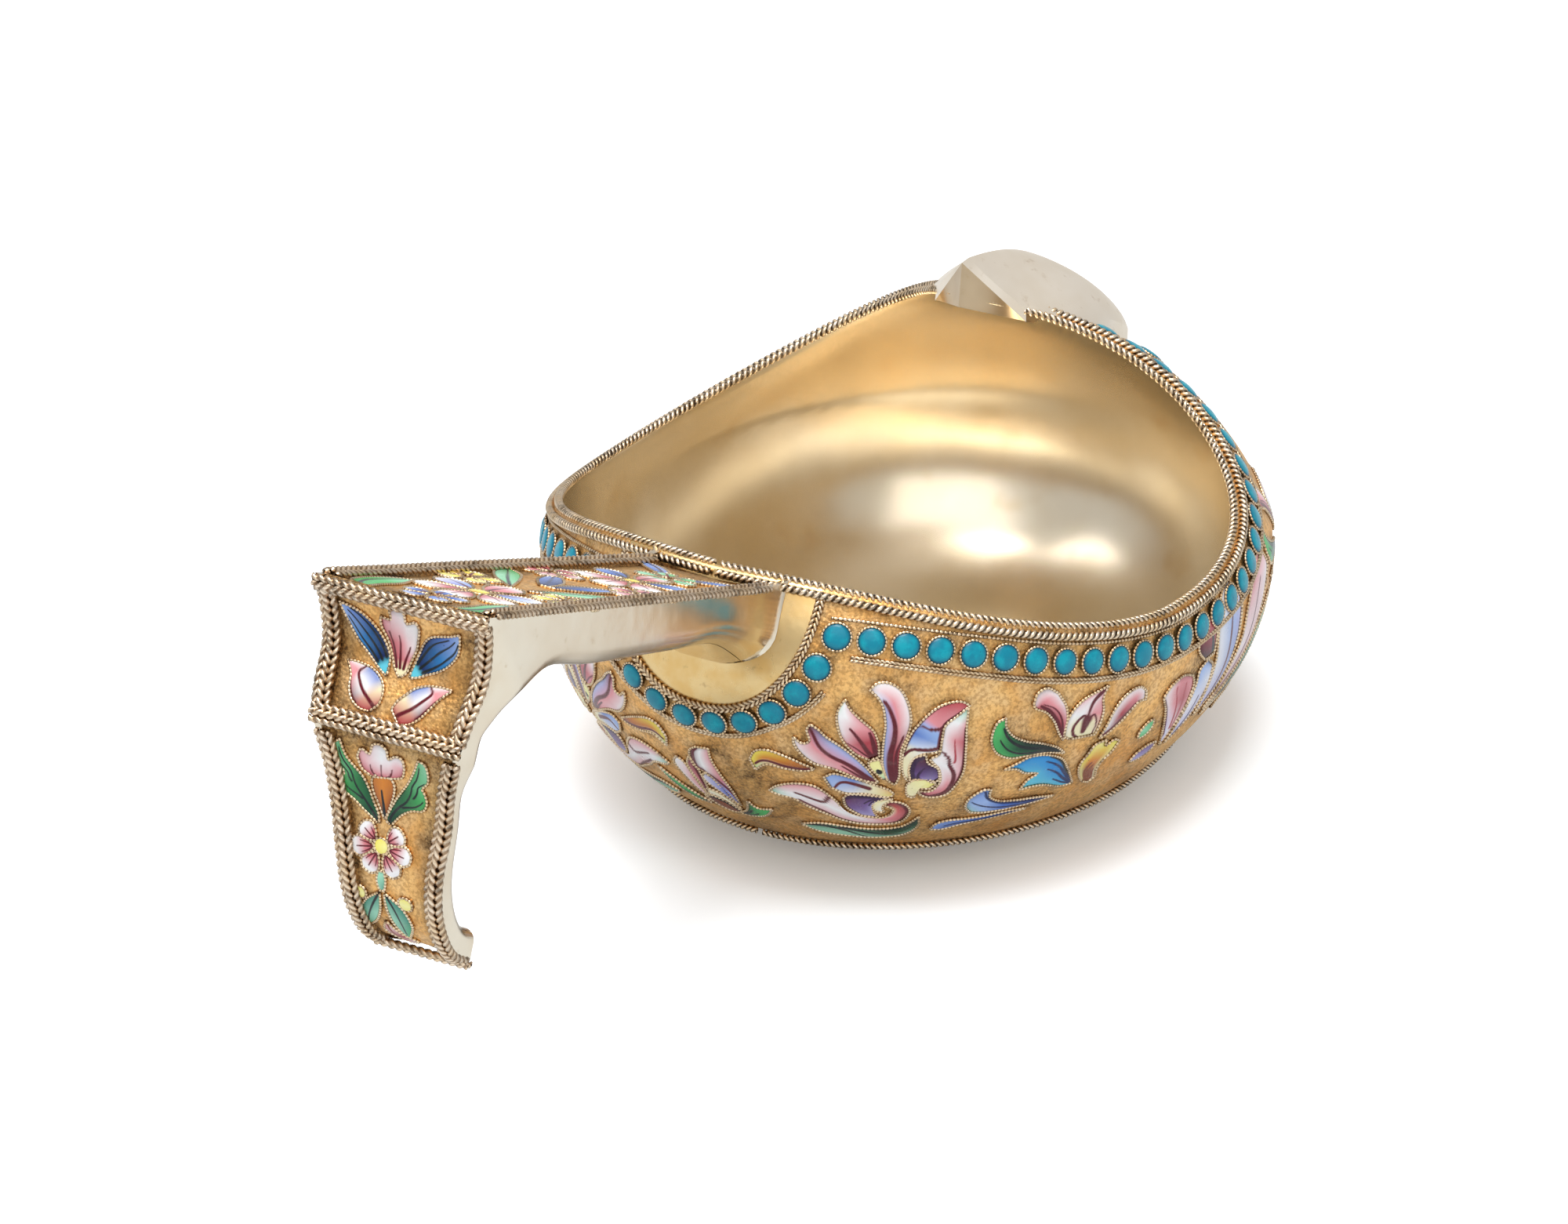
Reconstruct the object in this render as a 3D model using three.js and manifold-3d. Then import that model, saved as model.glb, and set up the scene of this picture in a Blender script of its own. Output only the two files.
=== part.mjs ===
// A small silver-gilt dipper with a boat-shaped bowl, a raised prow and a hooked box handle,
// dressed with twisted wires, a row of round enamel studs and enamelled flower sprays.
//
// Lengths are in millimetres, +Z is up, and the bowl stands on its flat foot at Z = 0.
// The handle points along -X and the prow along +X. The near side of the object is -Y.
// A place on the bowl is a longitude, 0 at the handle and 180 at the prow, and a latitude,
// 0 at the belly and -90 at the edge of the foot, both in degrees.

import * as THREE from "three";
import { mergeVertices } from "three/addons/utils/BufferGeometryUtils.js";
import { ParametricGeometry } from "three/addons/geometries/ParametricGeometry.js";
import Module from "manifold-3d";

const wasm = await Module();
wasm.setup();

// The bowl.
const PROW_REACH = 44.5;
const HANDLE_REACH = 32.5;
const HALF_WIDTH = 33;
const BELLY_HEIGHT = 21;
const CROWN_HEIGHT = 26.6;
const BOWL_WALL = 1;
const SIDE_RIM_HEIGHT = 22.2;
const PROW_RIM_HEIGHT = 43.6;
const HANDLE_RIM_HEIGHT = 34.5;

const FOOT_share = 0.42;
const EGG_share = 0.1;
const PROW_POINT_share = 0.055;
const CROWN_LEAN_share = -0.19;
// Beside the prow the shoulders lean further in as they rise.
const SHOULDER_INSET_share = 0.11;
const SHOULDER_ANGLE = 55;
const SHOULDER_SPREAD = 28;
const CROWN_POWER = 1.8;
const PROW_RISE_ANGLE = 48;
const HANDLE_RISE_ANGLE = 75;
const PROW_RISE_POWER = 2;
const HANDLE_RISE_POWER = 2.5;

// Wires, ropes and studs on the bowl.
const CLEARANCE = 0.3;
const SIDE_CLEARANCE = 0.14;
const RIM_ROPE_RADIUS = 0.36;
const FINE_WIRE_RADIUS = 0.2;
const BAND_WIRE_RADIUS = 0.28;
const FOOT_WIRE_RADIUS = 0.4;
const FOOT_WIRE_ANGLE = -54;
const STUD_RADIUS = 1.28;
const STUD_PITCH = 3.1;
const STUD_HEIGHT = 0.75;
const STUD_CROWN_share = 0.8;
const STUD_LINK_RADIUS = 0.22;
const LUNETTE_HALF_WIDTH = 9.8;
const LUNETTE_DEPTH = 12.8;
const LUNETTE_ROUNDNESS = 0.75;
const LUNETTE_WIRE_share = 0.07;
const LUNETTE_STUD_share = 0.11;
const LUNETTE_BAND_share = 0.14;
const PROW_WIRE_share = 0.09;
const PROW_STUD_share = 0.17;
const PROW_BAND_share = 0.2;

// The prow cap, whose middle lies at this latitude on the prow.
const CAP_MIDDLE_ANGLE = 42;
const CAP_THICKNESS = 4.2;
const CAP_OVERHANG = 2.2;
const CAP_HALF_WIDTH = 9;
const CAP_HALF_LENGTH = 12.2;

// Enamelled sprays on the bowl.
const ENAMEL_HEIGHT = 0.55;
const SPRAY_LOBES = 6;
const LOBE_share = 0.09;

// The handle: how far it reaches out from the rim, and its height from the curled tip up to
// the outer end of the top plate.
const HANDLE_LENGTH = 53.4;
const HANDLE_HEIGHT = 33.6;
const END_HALF_WIDTH = 9.1;
const HANDLE_PLATE = 0.7;
const BACK_PLATE = 0.55;
const SIDE_INSET = 0.9;
const HANDLE_ROPE_RADIUS = 0.45;
const STRAND_SPACING_share = 1.7;
const EDGE_ENAMEL_share = 0.68;
const TRIM_share = 0.025;

// How finely curved shapes are faceted.
const BOWL_SLICES = 60;
const WALL_STEPS = 9;
const TUBE_SIDES = 6;
const TUBE_STEP = 4;
const ARC_STEP = 2.5;
const BEND_STEPS = 8;
const STUD_SIDES = 6;
const STUD_LINK_SIDES = 4;
const CAP_SLICES = 12;
const SPRAY_SIDES = 24;

// Sections of the prow cap from its back to its front, in shares: how far it spreads each way,
// how far its sides and its middle lie from the cap's middle, its thickness and its overhang.
// The last number says how round the section is.
const CAP_SECTION_shares = [
  [0.638, 0.814, 1.03, 0.92, 0.8, 1],
  [0.877, 0.55, 0.718, 1, 0.3, 1.15],
  [1.027, 0.138, 0.3, 1.05, 0, 1.6],
  [0.991, -0.311, -0.09, 1, 0, 2.1],
  [0.784, -0.706, -0.479, 0.8, 0, 2.4],
  [0.436, -0.957, -0.808, 0.5, 0, 2.3],
  [0.13, -1.02, -1, 0.2, 0, 2],
];

// Sprays: how high their middle lies between the foot wire and the wire above them as a share,
// half the angle they spread across, and half their height as a share. Those on the sides
// have their longitude first.
const HANDLE_SPRAY_shares = [0.52, 9, 0.27];
const PROW_SPRAY_shares = [0.62, 16, 0.23];
const SIDE_SPRAY_shares = [
  ["spray_large", 29.5, 0.64, 17, 0.285],
  ["spray_middle", 65, 0.66, 15, 0.29],
  ["spray_side", 99, 0.64, 14, 0.32],
  ["spray_bow", 132, 0.63, 15, 0.25],
  ["leaf_green", 25, 0.23, 12, 0.08],
  ["leaf_blue", 53, 0.24, 12, 0.09],
  ["leaf_low", 118, 0.18, 15, 0.08],
];

// Sections across the handle, in shares: how far out and how high its face lies, how far out
// and how high its back lies, and its half width. The arm rises outwards to the end of the top
// plate, the block drops from there in a hollow curve, and the hook hangs below the block.
const ARM_SECTION_shares = [
  [0, 0.431, 0.015, 0.203, 0.764],
  [0.179, 0.539, 0.16, 0.378, 0.809],
  [0.302, 0.613, 0.298, 0.464, 0.837],
  [0.587, 0.785, 0.591, 0.631, 0.905],
  [0.768, 0.893, 0.74, 0.725, 0.947],
  [0.945, 1, 0.863, 0.72, 1],
];
const BLOCK_SECTION_shares = [
  [0.945, 1, 0.863, 0.72, 1],
  [0.934, 0.9, 0.894, 0.7, 0.96],
  [0.939, 0.805, 0.918, 0.679, 0.93],
  [0.977, 0.71, 0.939, 0.649, 0.89],
  [1, 0.637, 0.951, 0.575, 0.85],
];
const HOOK_SECTION_shares = [
  [1, 0.637, 0.951, 0.575, 0.85],
  [0.993, 0.509, 0.96, 0.488, 0.735],
  [0.99, 0.399, 0.958, 0.387, 0.68],
  [0.998, 0.265, 0.958, 0.256, 0.605],
  [0.994, 0.167, 0.952, 0.173, 0.575],
  [0.975, 0.077, 0.937, 0.098, 0.56],
  [0.928, 0, 0.899, 0.03, 0.545],
];

const GILT = { color: 0xc99a52, roughness: 0.38, metalness: 1 };
const PALE_GILT = { color: 0xdcc9a0, roughness: 0.2, metalness: 1 };
const ROPE = { color: 0xd9b784, roughness: 0.35, metalness: 1 };
const TURQUOISE = { color: 0x0e9fb8, roughness: 0.25, metalness: 0 };
const ENAMEL = { color: 0xd98aa6, roughness: 0.2, metalness: 0 };

const HALF_TURN = 180;
const RIGHT_ANGLE = 90;
const dipper = new THREE.Group();
const radians = THREE.MathUtils.degToRad;
const degrees = THREE.MathUtils.radToDeg;
const vector = (x, y, z) => new THREE.Vector3(x, y, z);

// Evenly spaced values from one share to another.
const shares = (steps, from = 0, to = 1) =>
  Array.from({ length: steps + 1 }, (_, k) => from + ((to - from) * k) / steps);

// The closed surface of a geometry, with its shared corners merged and its faces turned outwards.
function closedSurface(geometry) {
  const bare = new THREE.BufferGeometry();
  bare.setAttribute("position", geometry.getAttribute("position").clone());
  if (geometry.index) bare.setIndex(geometry.index.clone());
  const merged = mergeVertices(bare, CLEARANCE / 1000);
  const at = (i) => new THREE.Vector3().fromBufferAttribute(merged.getAttribute("position"), i);
  const kept = [];
  let volume = 0;
  for (let i = 0; i < merged.index.count; i += 3) {
    const [a, b, c] = [0, 1, 2].map((k) => merged.index.getX(i + k));
    if (a === b || b === c || c === a) continue;
    kept.push([a, b, c]);
    volume += at(a).dot(at(b).cross(at(c)));
  }
  merged.setIndex(kept.flatMap(([a, b, c]) => (volume > 0 ? [a, b, c] : [a, c, b])));
  return merged;
}

function solidOf(geometry) {
  const surface = closedSurface(geometry);
  const mesh = new wasm.Mesh({
    numProp: 3,
    vertProperties: new Float32Array(surface.getAttribute("position").array),
    triVerts: new Uint32Array(surface.index.array),
  });
  return new wasm.Manifold(mesh);
}

function geometryOf(solid) {
  const mesh = solid.getMesh();
  const geometry = new THREE.BufferGeometry();
  geometry.setAttribute("position", new THREE.BufferAttribute(mesh.vertProperties, 3));
  geometry.setIndex(new THREE.BufferAttribute(mesh.triVerts, 1));
  return geometry;
}

const joined = (geometries) => geometryOf(geometries.map(solidOf).reduce((a, b) => a.add(b)));

function addPiece(name, geometry, look) {
  const surface = closedSurface(geometry);
  surface.computeVertexNormals();
  const piece = new THREE.Mesh(surface, new THREE.MeshStandardMaterial(look));
  piece.name = name;
  dipper.add(piece);
}

// A body through rings of points, each with as many points, closed over at both ends.
// An end ring may be a single point.
function lofted(rings) {
  const middle = (ring) => ring.reduce((sum, p) => sum.add(p), vector(0, 0, 0)).divideScalar(ring.length);
  const all = [[middle(rings[0])], ...rings, [middle(rings[rings.length - 1])]];
  const sides = Math.max(...rings.map((ring) => ring.length));
  const place = (u, v, target) => {
    const ring = all[Math.round(v * (all.length - 1))];
    target.copy(ring[Math.round(u * sides) % ring.length]);
  };
  return new ParametricGeometry(place, sides, all.length - 1);
}

class PathCurve extends THREE.Curve {
  constructor(place) {
    super();
    this.place = place;
  }
  getPoint(t) {
    return this.place(t);
  }
}

// A round tube along a path given as a function of 0 to 1.
function tube(place, radius, step = TUBE_STEP, sides = TUBE_SIDES) {
  const path = new PathCurve(place);
  const section = new THREE.Shape();
  for (let i = 0; i < sides; i++) {
    const turn = (2 * Math.PI * i) / sides;
    const move = i ? "lineTo" : "moveTo";
    section[move](radius * Math.cos(turn), radius * Math.sin(turn));
  }
  section.closePath();
  const steps = Math.max(2, Math.round(path.getLength() / step));
  return new THREE.ExtrudeGeometry(section, { steps, bevelEnabled: false, extrudePath: path });
}

// Height and breadth of the bowl's wall at a latitude.
function wallProfile(latitude) {
  const sine = Math.sin(radians(latitude));
  const cosine = Math.cos(radians(latitude));
  if (latitude < 0) {
    return { height: BELLY_HEIGHT * (1 + sine), breadth: FOOT_share + (1 - FOOT_share) * cosine };
  }
  const power = 2 / CROWN_POWER;
  return { height: BELLY_HEIGHT + CROWN_HEIGHT * sine ** power, breadth: cosine ** power };
}

function latitudeAt(height) {
  const above = (height - BELLY_HEIGHT) / CROWN_HEIGHT;
  if (above > 0) return degrees(Math.asin(Math.min(1, above ** (CROWN_POWER / 2))));
  return degrees(Math.asin(Math.max(-1, height / BELLY_HEIGHT - 1)));
}

// The share of its breadth that the wall keeps beside the prow.
function shoulder(ahead, latitude) {
  const fromProw = degrees(Math.acos(Math.max(-1, Math.min(1, ahead))));
  const near = Math.exp(-(((fromProw - SHOULDER_ANGLE) / SHOULDER_SPREAD) ** 2));
  return 1 - SHOULDER_INSET_share * near * Math.max(0, Math.sin(radians(latitude)));
}

// A point of the bowl's outer face. Longitude grows from the handle towards the near side.
function wallPoint(longitude, latitude) {
  const turn = radians(HALF_TURN - longitude);
  const ahead = Math.cos(turn);
  const { height, breadth: fullBreadth } = wallProfile(latitude);
  const breadth = fullBreadth * shoulder(ahead, latitude);
  const reach = ahead > 0 ? PROW_REACH : HANDLE_REACH;
  const swell = 1 + EGG_share * ahead + PROW_POINT_share * (ahead * ahead - 1 / 2);
  const lean = CROWN_LEAN_share * (height - BELLY_HEIGHT);
  return vector(reach * ahead * breadth + lean, -HALF_WIDTH * Math.sin(turn) * swell * breadth, height);
}

function wallNormal(longitude, latitude) {
  const nudge = 1 / 5;
  const low = Math.max(latitude, nudge - RIGHT_ANGLE);
  const along = wallPoint(longitude + nudge, low).sub(wallPoint(longitude - nudge, low));
  const up = wallPoint(longitude, low + nudge).sub(wallPoint(longitude, low - nudge));
  return along.cross(up).normalize();
}

const onWall = (longitude, latitude, out) =>
  wallPoint(longitude, latitude).addScaledVector(wallNormal(longitude, latitude), out);

function rimHeight(longitude) {
  const fromHandle = Math.abs(
    THREE.MathUtils.euclideanModulo(longitude + HALF_TURN, 2 * HALF_TURN) - HALF_TURN,
  );
  const prow = Math.exp(-(((HALF_TURN - fromHandle) / PROW_RISE_ANGLE) ** PROW_RISE_POWER));
  const handle = Math.exp(-((fromHandle / HANDLE_RISE_ANGLE) ** HANDLE_RISE_POWER));
  const sides = SIDE_RIM_HEIGHT;
  return sides + (PROW_RIM_HEIGHT - sides) * prow + (HANDLE_RIM_HEIGHT - sides) * handle;
}

const rimLatitude = (longitude) => latitudeAt(rimHeight(longitude));

// The place that lies a given distance from the rim, square to it and down the wall.
function placeBelowRim(longitude, drop) {
  const nudge = 1 / 5;
  const rim = rimLatitude(longitude);
  const rimPoint = (at) => wallPoint(at, rimLatitude(at));
  const tangent = rimPoint(longitude + nudge).sub(rimPoint(longitude - nudge)).normalize();
  const down = tangent.cross(wallNormal(longitude, rim)).multiplyScalar(drop);
  const east = wallPoint(longitude + nudge, rim).sub(wallPoint(longitude - nudge, rim));
  const north = wallPoint(longitude, rim).sub(wallPoint(longitude, rim - 2 * nudge));
  const [ee, en, nn] = [east.dot(east), east.dot(north), north.dot(north)];
  const [de, dn] = [down.dot(east), down.dot(north)];
  const scale = (2 * nudge) / (ee * nn - en * en);
  return [longitude + scale * (de * nn - dn * en), rim + scale * (dn * ee - de * en)];
}

// Drops below the rim of the two ropes, the fine wire, the studs and the wire under them.
const upperRopeDrop = SIDE_CLEARANCE + RIM_ROPE_RADIUS;
const lowerRopeDrop = upperRopeDrop + 2 * RIM_ROPE_RADIUS + SIDE_CLEARANCE;
const fineWireDrop = lowerRopeDrop + RIM_ROPE_RADIUS + SIDE_CLEARANCE + FINE_WIRE_RADIUS;
const studDrop = fineWireDrop + FINE_WIRE_RADIUS + SIDE_CLEARANCE + STUD_RADIUS;
const bandWireDrop = studDrop + STUD_RADIUS + CLEARANCE + BAND_WIRE_RADIUS;

// How far the studs and the wire outside them stand off the wire that edges a plain field.
const studStandOff = FINE_WIRE_RADIUS + CLEARANCE + STUD_RADIUS;
const bandStandOff = studStandOff + STUD_RADIUS + CLEARANCE + BAND_WIRE_RADIUS;

// Lengths of one degree of longitude at the handle, at the sides and under the cap,
// and of one degree of latitude under the cap.
const sideDegree = radians(HALF_WIDTH);
const handleDegree = sideDegree * (1 - EGG_share);
const capMiddle = wallPoint(HALF_TURN, CAP_MIDDLE_ANGLE);
const capDegree = capMiddle.distanceTo(wallPoint(HALF_TURN - 1, CAP_MIDDLE_ANGLE));
const capLatitudeDegree = capMiddle.distanceTo(wallPoint(HALF_TURN, CAP_MIDDLE_ANGLE + 1));

// Arcs round the lunette, the plain half disc of wall under the handle. They grow outwards.
const lunetteArc = (grow, from, to) => (t) => {
  const turn = Math.PI * (from + (to - from) * t);
  const across = degrees(Math.asin((LUNETTE_HALF_WIDTH + grow) / (HALF_WIDTH * (1 - EGG_share))));
  const drop = (LUNETTE_DEPTH + grow) * Math.sin(turn) ** LUNETTE_ROUNDNESS;
  return placeBelowRim(across * Math.cos(turn), drop);
};

// Arcs round the cap, from its near side under its front to its far side.
const capArc = (grow, from, to) => (t) => {
  const turn = Math.PI * (from + (to - from) * t);
  const across = (CAP_HALF_WIDTH + grow) / capDegree;
  const along = (CAP_HALF_LENGTH + grow) / capLatitudeDegree;
  return [HALF_TURN - across * Math.cos(turn), CAP_MIDDLE_ANGLE - along * Math.sin(turn)];
};

// The wires round the cap keep this far off it.
const capGap = 2 * RIM_ROPE_RADIUS + SIDE_CLEARANCE;

// Longitudes where the runs beside the rim end, this far short of the cap.
const shortOfCap = (length) => HALF_TURN - (CAP_HALF_WIDTH + length) / capDegree;
const upperRopeEnd = shortOfCap(RIM_ROPE_RADIUS);
const lowerRopeEnd = shortOfCap(4 * RIM_ROPE_RADIUS);
const rimWireEnd = shortOfCap(STUD_PITCH + STUD_RADIUS);
const studRowEnd = shortOfCap(2 * STUD_PITCH);
const bandWireEnd = shortOfCap(2 * STUD_PITCH + bandStandOff - studStandOff);

// A run beside the rim, from one longitude to another, and one at a fixed latitude.
const besideRim = (drop, from, to) => (t) => placeBelowRim(from + (to - from) * t, drop);
const atLatitude = (latitude, from, to) => (t) => [from + (to - from) * t, latitude];

const wireOn = (places, radius, step) =>
  tube((t) => onWall(...places(t), CLEARANCE + radius), radius, step);

// The bowl: one raised shell with a flat foot and an open mouth.
function bowlShell() {
  const climb = (longitude, out) => {
    const rim = rimLatitude(longitude);
    const latitudes = shares(WALL_STEPS).map((share) => rim * share - RIGHT_ANGLE * (1 - share));
    return latitudes.map((latitude) => onWall(longitude, latitude, out));
  };
  const columns = [];
  for (let i = 0; i < BOWL_SLICES; i++) {
    const longitude = HALF_TURN * ((2 * i) / BOWL_SLICES - 1);
    columns.push([...climb(longitude, 0), ...climb(longitude, -BOWL_WALL).reverse()]);
  }
  const rings = columns[0].map((_, level) => columns.map((column) => column[level]));
  addPiece("bowl_shell", lofted(rings), PALE_GILT);
}

// Longitudes where the runs beside the rim start: at the middle of the handle and beside the
// lunette and its studs.
const middleEnd = CLEARANCE / handleDegree;
const lunetteEnd = (LUNETTE_HALF_WIDTH + studStandOff) / handleDegree;
const lunetteStudEnd = lunetteEnd + STUD_PITCH / handleDegree;
const lunetteBandEnd = lunetteStudEnd + STUD_RADIUS / handleDegree;

function rimDress(side, sign) {
  const run = (drop, from, to, radius) => wireOn(besideRim(drop, sign * from, sign * to), radius);
  addPiece(`rim_rope_upper_${side}`, run(upperRopeDrop, middleEnd, upperRopeEnd, RIM_ROPE_RADIUS), ROPE);
  addPiece(`rim_rope_lower_${side}`, run(lowerRopeDrop, middleEnd, lowerRopeEnd, RIM_ROPE_RADIUS), ROPE);
  addPiece(`rim_wire_${side}`, run(fineWireDrop, lunetteEnd, rimWireEnd, FINE_WIRE_RADIUS), ROPE);
  addPiece(`band_wire_${side}`, run(bandWireDrop, lunetteBandEnd, bandWireEnd, BAND_WIRE_RADIUS), ROPE);
  const footEnd = HALF_TURN - CLEARANCE / sideDegree;
  const foot = atLatitude(FOOT_WIRE_ANGLE, sign * middleEnd, sign * footEnd);
  addPiece(`foot_wire_${side}`, wireOn(foot, FOOT_WIRE_RADIUS), ROPE);
  studRow(`stud_row_${side}`, besideRim(studDrop, sign * lunetteStudEnd, sign * studRowEnd));
}

// A row of round enamelled studs on a thin wire, evenly spaced along a run of places.
function studRow(name, places) {
  const path = new PathCurve((t) => onWall(...places(t), CLEARANCE));
  const count = Math.round(path.getLength() / STUD_PITCH);
  const studs = [];
  for (let i = 0; i <= count; i++) {
    const place = places(path.getUtoTmapping(i / count));
    const crown = STUD_RADIUS * STUD_CROWN_share;
    const stud = new THREE.CylinderGeometry(crown, STUD_RADIUS, STUD_HEIGHT, STUD_SIDES);
    stud.translate(0, STUD_HEIGHT / 2, 0);
    const turn = new THREE.Quaternion().setFromUnitVectors(vector(0, 1, 0), wallNormal(...place));
    stud.applyQuaternion(turn);
    stud.translate(...onWall(...place, CLEARANCE));
    studs.push(stud);
  }
  const linkPlace = (t) => onWall(...places(t), CLEARANCE + STUD_LINK_RADIUS);
  const link = tube(linkPlace, STUD_LINK_RADIUS, STUD_PITCH, STUD_LINK_SIDES);
  addPiece(name, joined([link, ...studs]), TURQUOISE);
}

function lunetteDress() {
  const wire = (grow, from, radius) => wireOn(lunetteArc(grow, from, 1 - from), radius, ARC_STEP);
  addPiece("lunette_wire_inner", wire(0, LUNETTE_WIRE_share, FINE_WIRE_RADIUS), ROPE);
  studRow("stud_arc_lunette", lunetteArc(studStandOff, LUNETTE_STUD_share, 1 - LUNETTE_STUD_share));
  const outerStandOff = bandStandOff + CLEARANCE;
  addPiece("lunette_wire_outer", wire(outerStandOff, LUNETTE_BAND_share, BAND_WIRE_RADIUS), ROPE);
}

function capDress() {
  const wire = (grow, from, radius) => wireOn(capArc(capGap + grow, from, 1 - from), radius, ARC_STEP);
  addPiece("prow_wire_inner", wire(0, PROW_WIRE_share, FINE_WIRE_RADIUS), ROPE);
  studRow("stud_arc_prow", capArc(capGap + studStandOff, PROW_STUD_share, 1 - PROW_STUD_share));
  addPiece("prow_wire_outer", wire(bandStandOff, PROW_BAND_share, BAND_WIRE_RADIUS), ROPE);
}

// The cap is a smooth cushion on the prow, cut off at its back by two facets that meet in a ridge.
function prowCap() {
  const spreadOf = (share) => (share * CAP_HALF_WIDTH) / capDegree;
  const latitudeOf = (share) => CAP_MIDDLE_ANGLE + (share * CAP_HALF_LENGTH) / capLatitudeDegree;
  const rings = CAP_SECTION_shares.map(([spread, side, middle, thick, overhang, power]) => {
    const along = (t) => latitudeOf(side + (middle - side) * (1 - t * t));
    const place = (t) => [HALF_TURN + spreadOf(spread) * t, along(t)];
    const bottom = (t) => onWall(...place(t), CLEARANCE);
    const ridge = onWall(HALF_TURN, latitudeOf(middle), CLEARANCE + thick * CAP_THICKNESS);
    ridge.x -= overhang * CAP_OVERHANG;
    const rise = ridge.sub(bottom(0));
    const across = shares(CAP_SLICES, -1, 1);
    const top = across.map((t) =>
      bottom(t).addScaledVector(rise, Math.max(0, 1 - Math.abs(t) ** power) ** (1 / power)),
    );
    return [...top, ...across.slice(1, -1).reverse().map(bottom)];
  });
  addPiece("prow_cap", lofted(rings), PALE_GILT);
}

// An enamelled spray as a thin lobed cushion that follows the wall.
function spray(name, longitude, top, [middle, halfAcross, halfHeight]) {
  const latitude = FOOT_WIRE_ANGLE + (top - FOOT_WIRE_ANGLE) * middle;
  const halfAlong = (top - FOOT_WIRE_ANGLE) * halfHeight;
  const steps = [
    [2 / 3, 1],
    [1, 2 / 3],
    [1, 0],
    [2 / 3, 0],
  ];
  const rings = steps.map(([radius, rise]) =>
    Array.from({ length: SPRAY_SIDES }, (_, i) => {
      const turn = (2 * Math.PI * i) / SPRAY_SIDES;
      const reach = radius * (1 - LOBE_share + LOBE_share * Math.cos(SPRAY_LOBES * turn));
      const place = [
        longitude + halfAcross * reach * Math.sin(turn),
        latitude + halfAlong * reach * Math.cos(turn),
      ];
      return onWall(...place, CLEARANCE + rise * ENAMEL_HEIGHT);
    }),
  );
  const centre = onWall(longitude, latitude, CLEARANCE + ENAMEL_HEIGHT);
  const floor = onWall(longitude, latitude, CLEARANCE);
  addPiece(name, lofted([[centre], ...rings, [floor]]), ENAMEL);
}

// The handle's root lies just outside the ropes on the rim and a little below the lip.
const rootReach = 3 * CLEARANCE + 2 * RIM_ROPE_RADIUS - wallPoint(0, rimLatitude(0)).x;
const tipHeight = HANDLE_RIM_HEIGHT - RIM_ROPE_RADIUS - ARM_SECTION_shares[0][1] * HANDLE_HEIGHT;
const rootUnderHeight = tipHeight + ARM_SECTION_shares[0][3] * HANDLE_HEIGHT;
const rootUnderReach = 2 * CLEARANCE - wallPoint(0, latitudeAt(rootUnderHeight)).x;

// The handle's face and back run through their sections as smooth curves.
function handleSpan(sections) {
  const curve = (columns) => {
    const points = sections.map((row) => vector(...columns.map((k) => row[k])));
    return new THREE.CatmullRomCurve3(points, false, "centripetal");
  };
  const face = curve([0, 1, 4]);
  const back = curve([2, 3, 4]);
  if (sections === ARM_SECTION_shares) {
    back.points[0].x = (rootUnderReach - rootReach) / HANDLE_LENGTH;
  }
  const place = (share) =>
    vector(-rootReach - share.x * HANDLE_LENGTH, 0, tipHeight + share.y * HANDLE_HEIGHT);
  return (t) => {
    const at = place(face.getPoint(t));
    const ahead = place(face.getPoint(Math.min(1, t + TRIM_share)));
    const behind = place(face.getPoint(Math.max(0, t - TRIM_share)));
    const along = ahead.sub(behind).normalize();
    const out = vector(0, 1, 0).cross(along);
    return { at, along, out, under: place(back.getPoint(t)), half: END_HALF_WIDTH * face.getPoint(t).z };
  };
}

const arm = handleSpan(ARM_SECTION_shares);
const block = handleSpan(BLOCK_SECTION_shares);
const hook = handleSpan(HOOK_SECTION_shares);
const sideways = (point, y) => vector(point.x, y, point.z);

// A plate between the two sides of the handle, laid on a line of places and as thick as told.
function crossPlate(name, sections, low, high, look) {
  const rings = sections.map((section) => {
    const y = section.half - SIDE_INSET - HANDLE_PLATE - SIDE_CLEARANCE;
    return [
      sideways(high(section), -y),
      sideways(high(section), y),
      sideways(low(section), y),
      sideways(low(section), -y),
    ];
  });
  addPiece(name, lofted(rings), look);
}

function handlePlates() {
  const face = (section) => section.at;
  const faceBack = (section) => section.at.clone().addScaledVector(section.out, -HANDLE_PLATE);
  const plate = (name, span, steps, from, to) =>
    crossPlate(name, shares(steps, from, to).map(span), faceBack, face, GILT);
  plate("handle_top_plate", arm, 1, 0, 1 - 2 * TRIM_share);
  plate("handle_block_plate", block, BEND_STEPS, TRIM_share, 1 - TRIM_share);
  plate("handle_hook_plate", hook, BEND_STEPS, TRIM_share, 1 - TRIM_share);
  const back = (section) => section.under;
  const backFace = (section) => {
    const rise = section.at.clone().sub(section.under).normalize();
    return section.under.clone().addScaledVector(rise, BACK_PLATE);
  };
  crossPlate("handle_underside", wholeHandle(1 - TRIM_share), back, backFace, PALE_GILT);
}

// Sections all the way from the root to the hook's tip.
function wholeHandle(end) {
  const first = 1 / BEND_STEPS;
  const bend = (span, to) => shares(BEND_STEPS - 1, first, to).map(span);
  return [...shares(BEND_STEPS).map(arm), ...bend(block, 1), ...bend(hook, end)];
}

function handleSide(side, sign) {
  const rings = wholeHandle(1).map(({ at, under, half }) => {
    const outer = sign * (half - SIDE_INSET);
    const inner = outer - sign * HANDLE_PLATE;
    return [sideways(at, outer), sideways(at, inner), sideways(under, inner), sideways(under, outer)];
  });
  addPiece(`handle_side_${side}`, lofted(rings), PALE_GILT);
}

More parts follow.
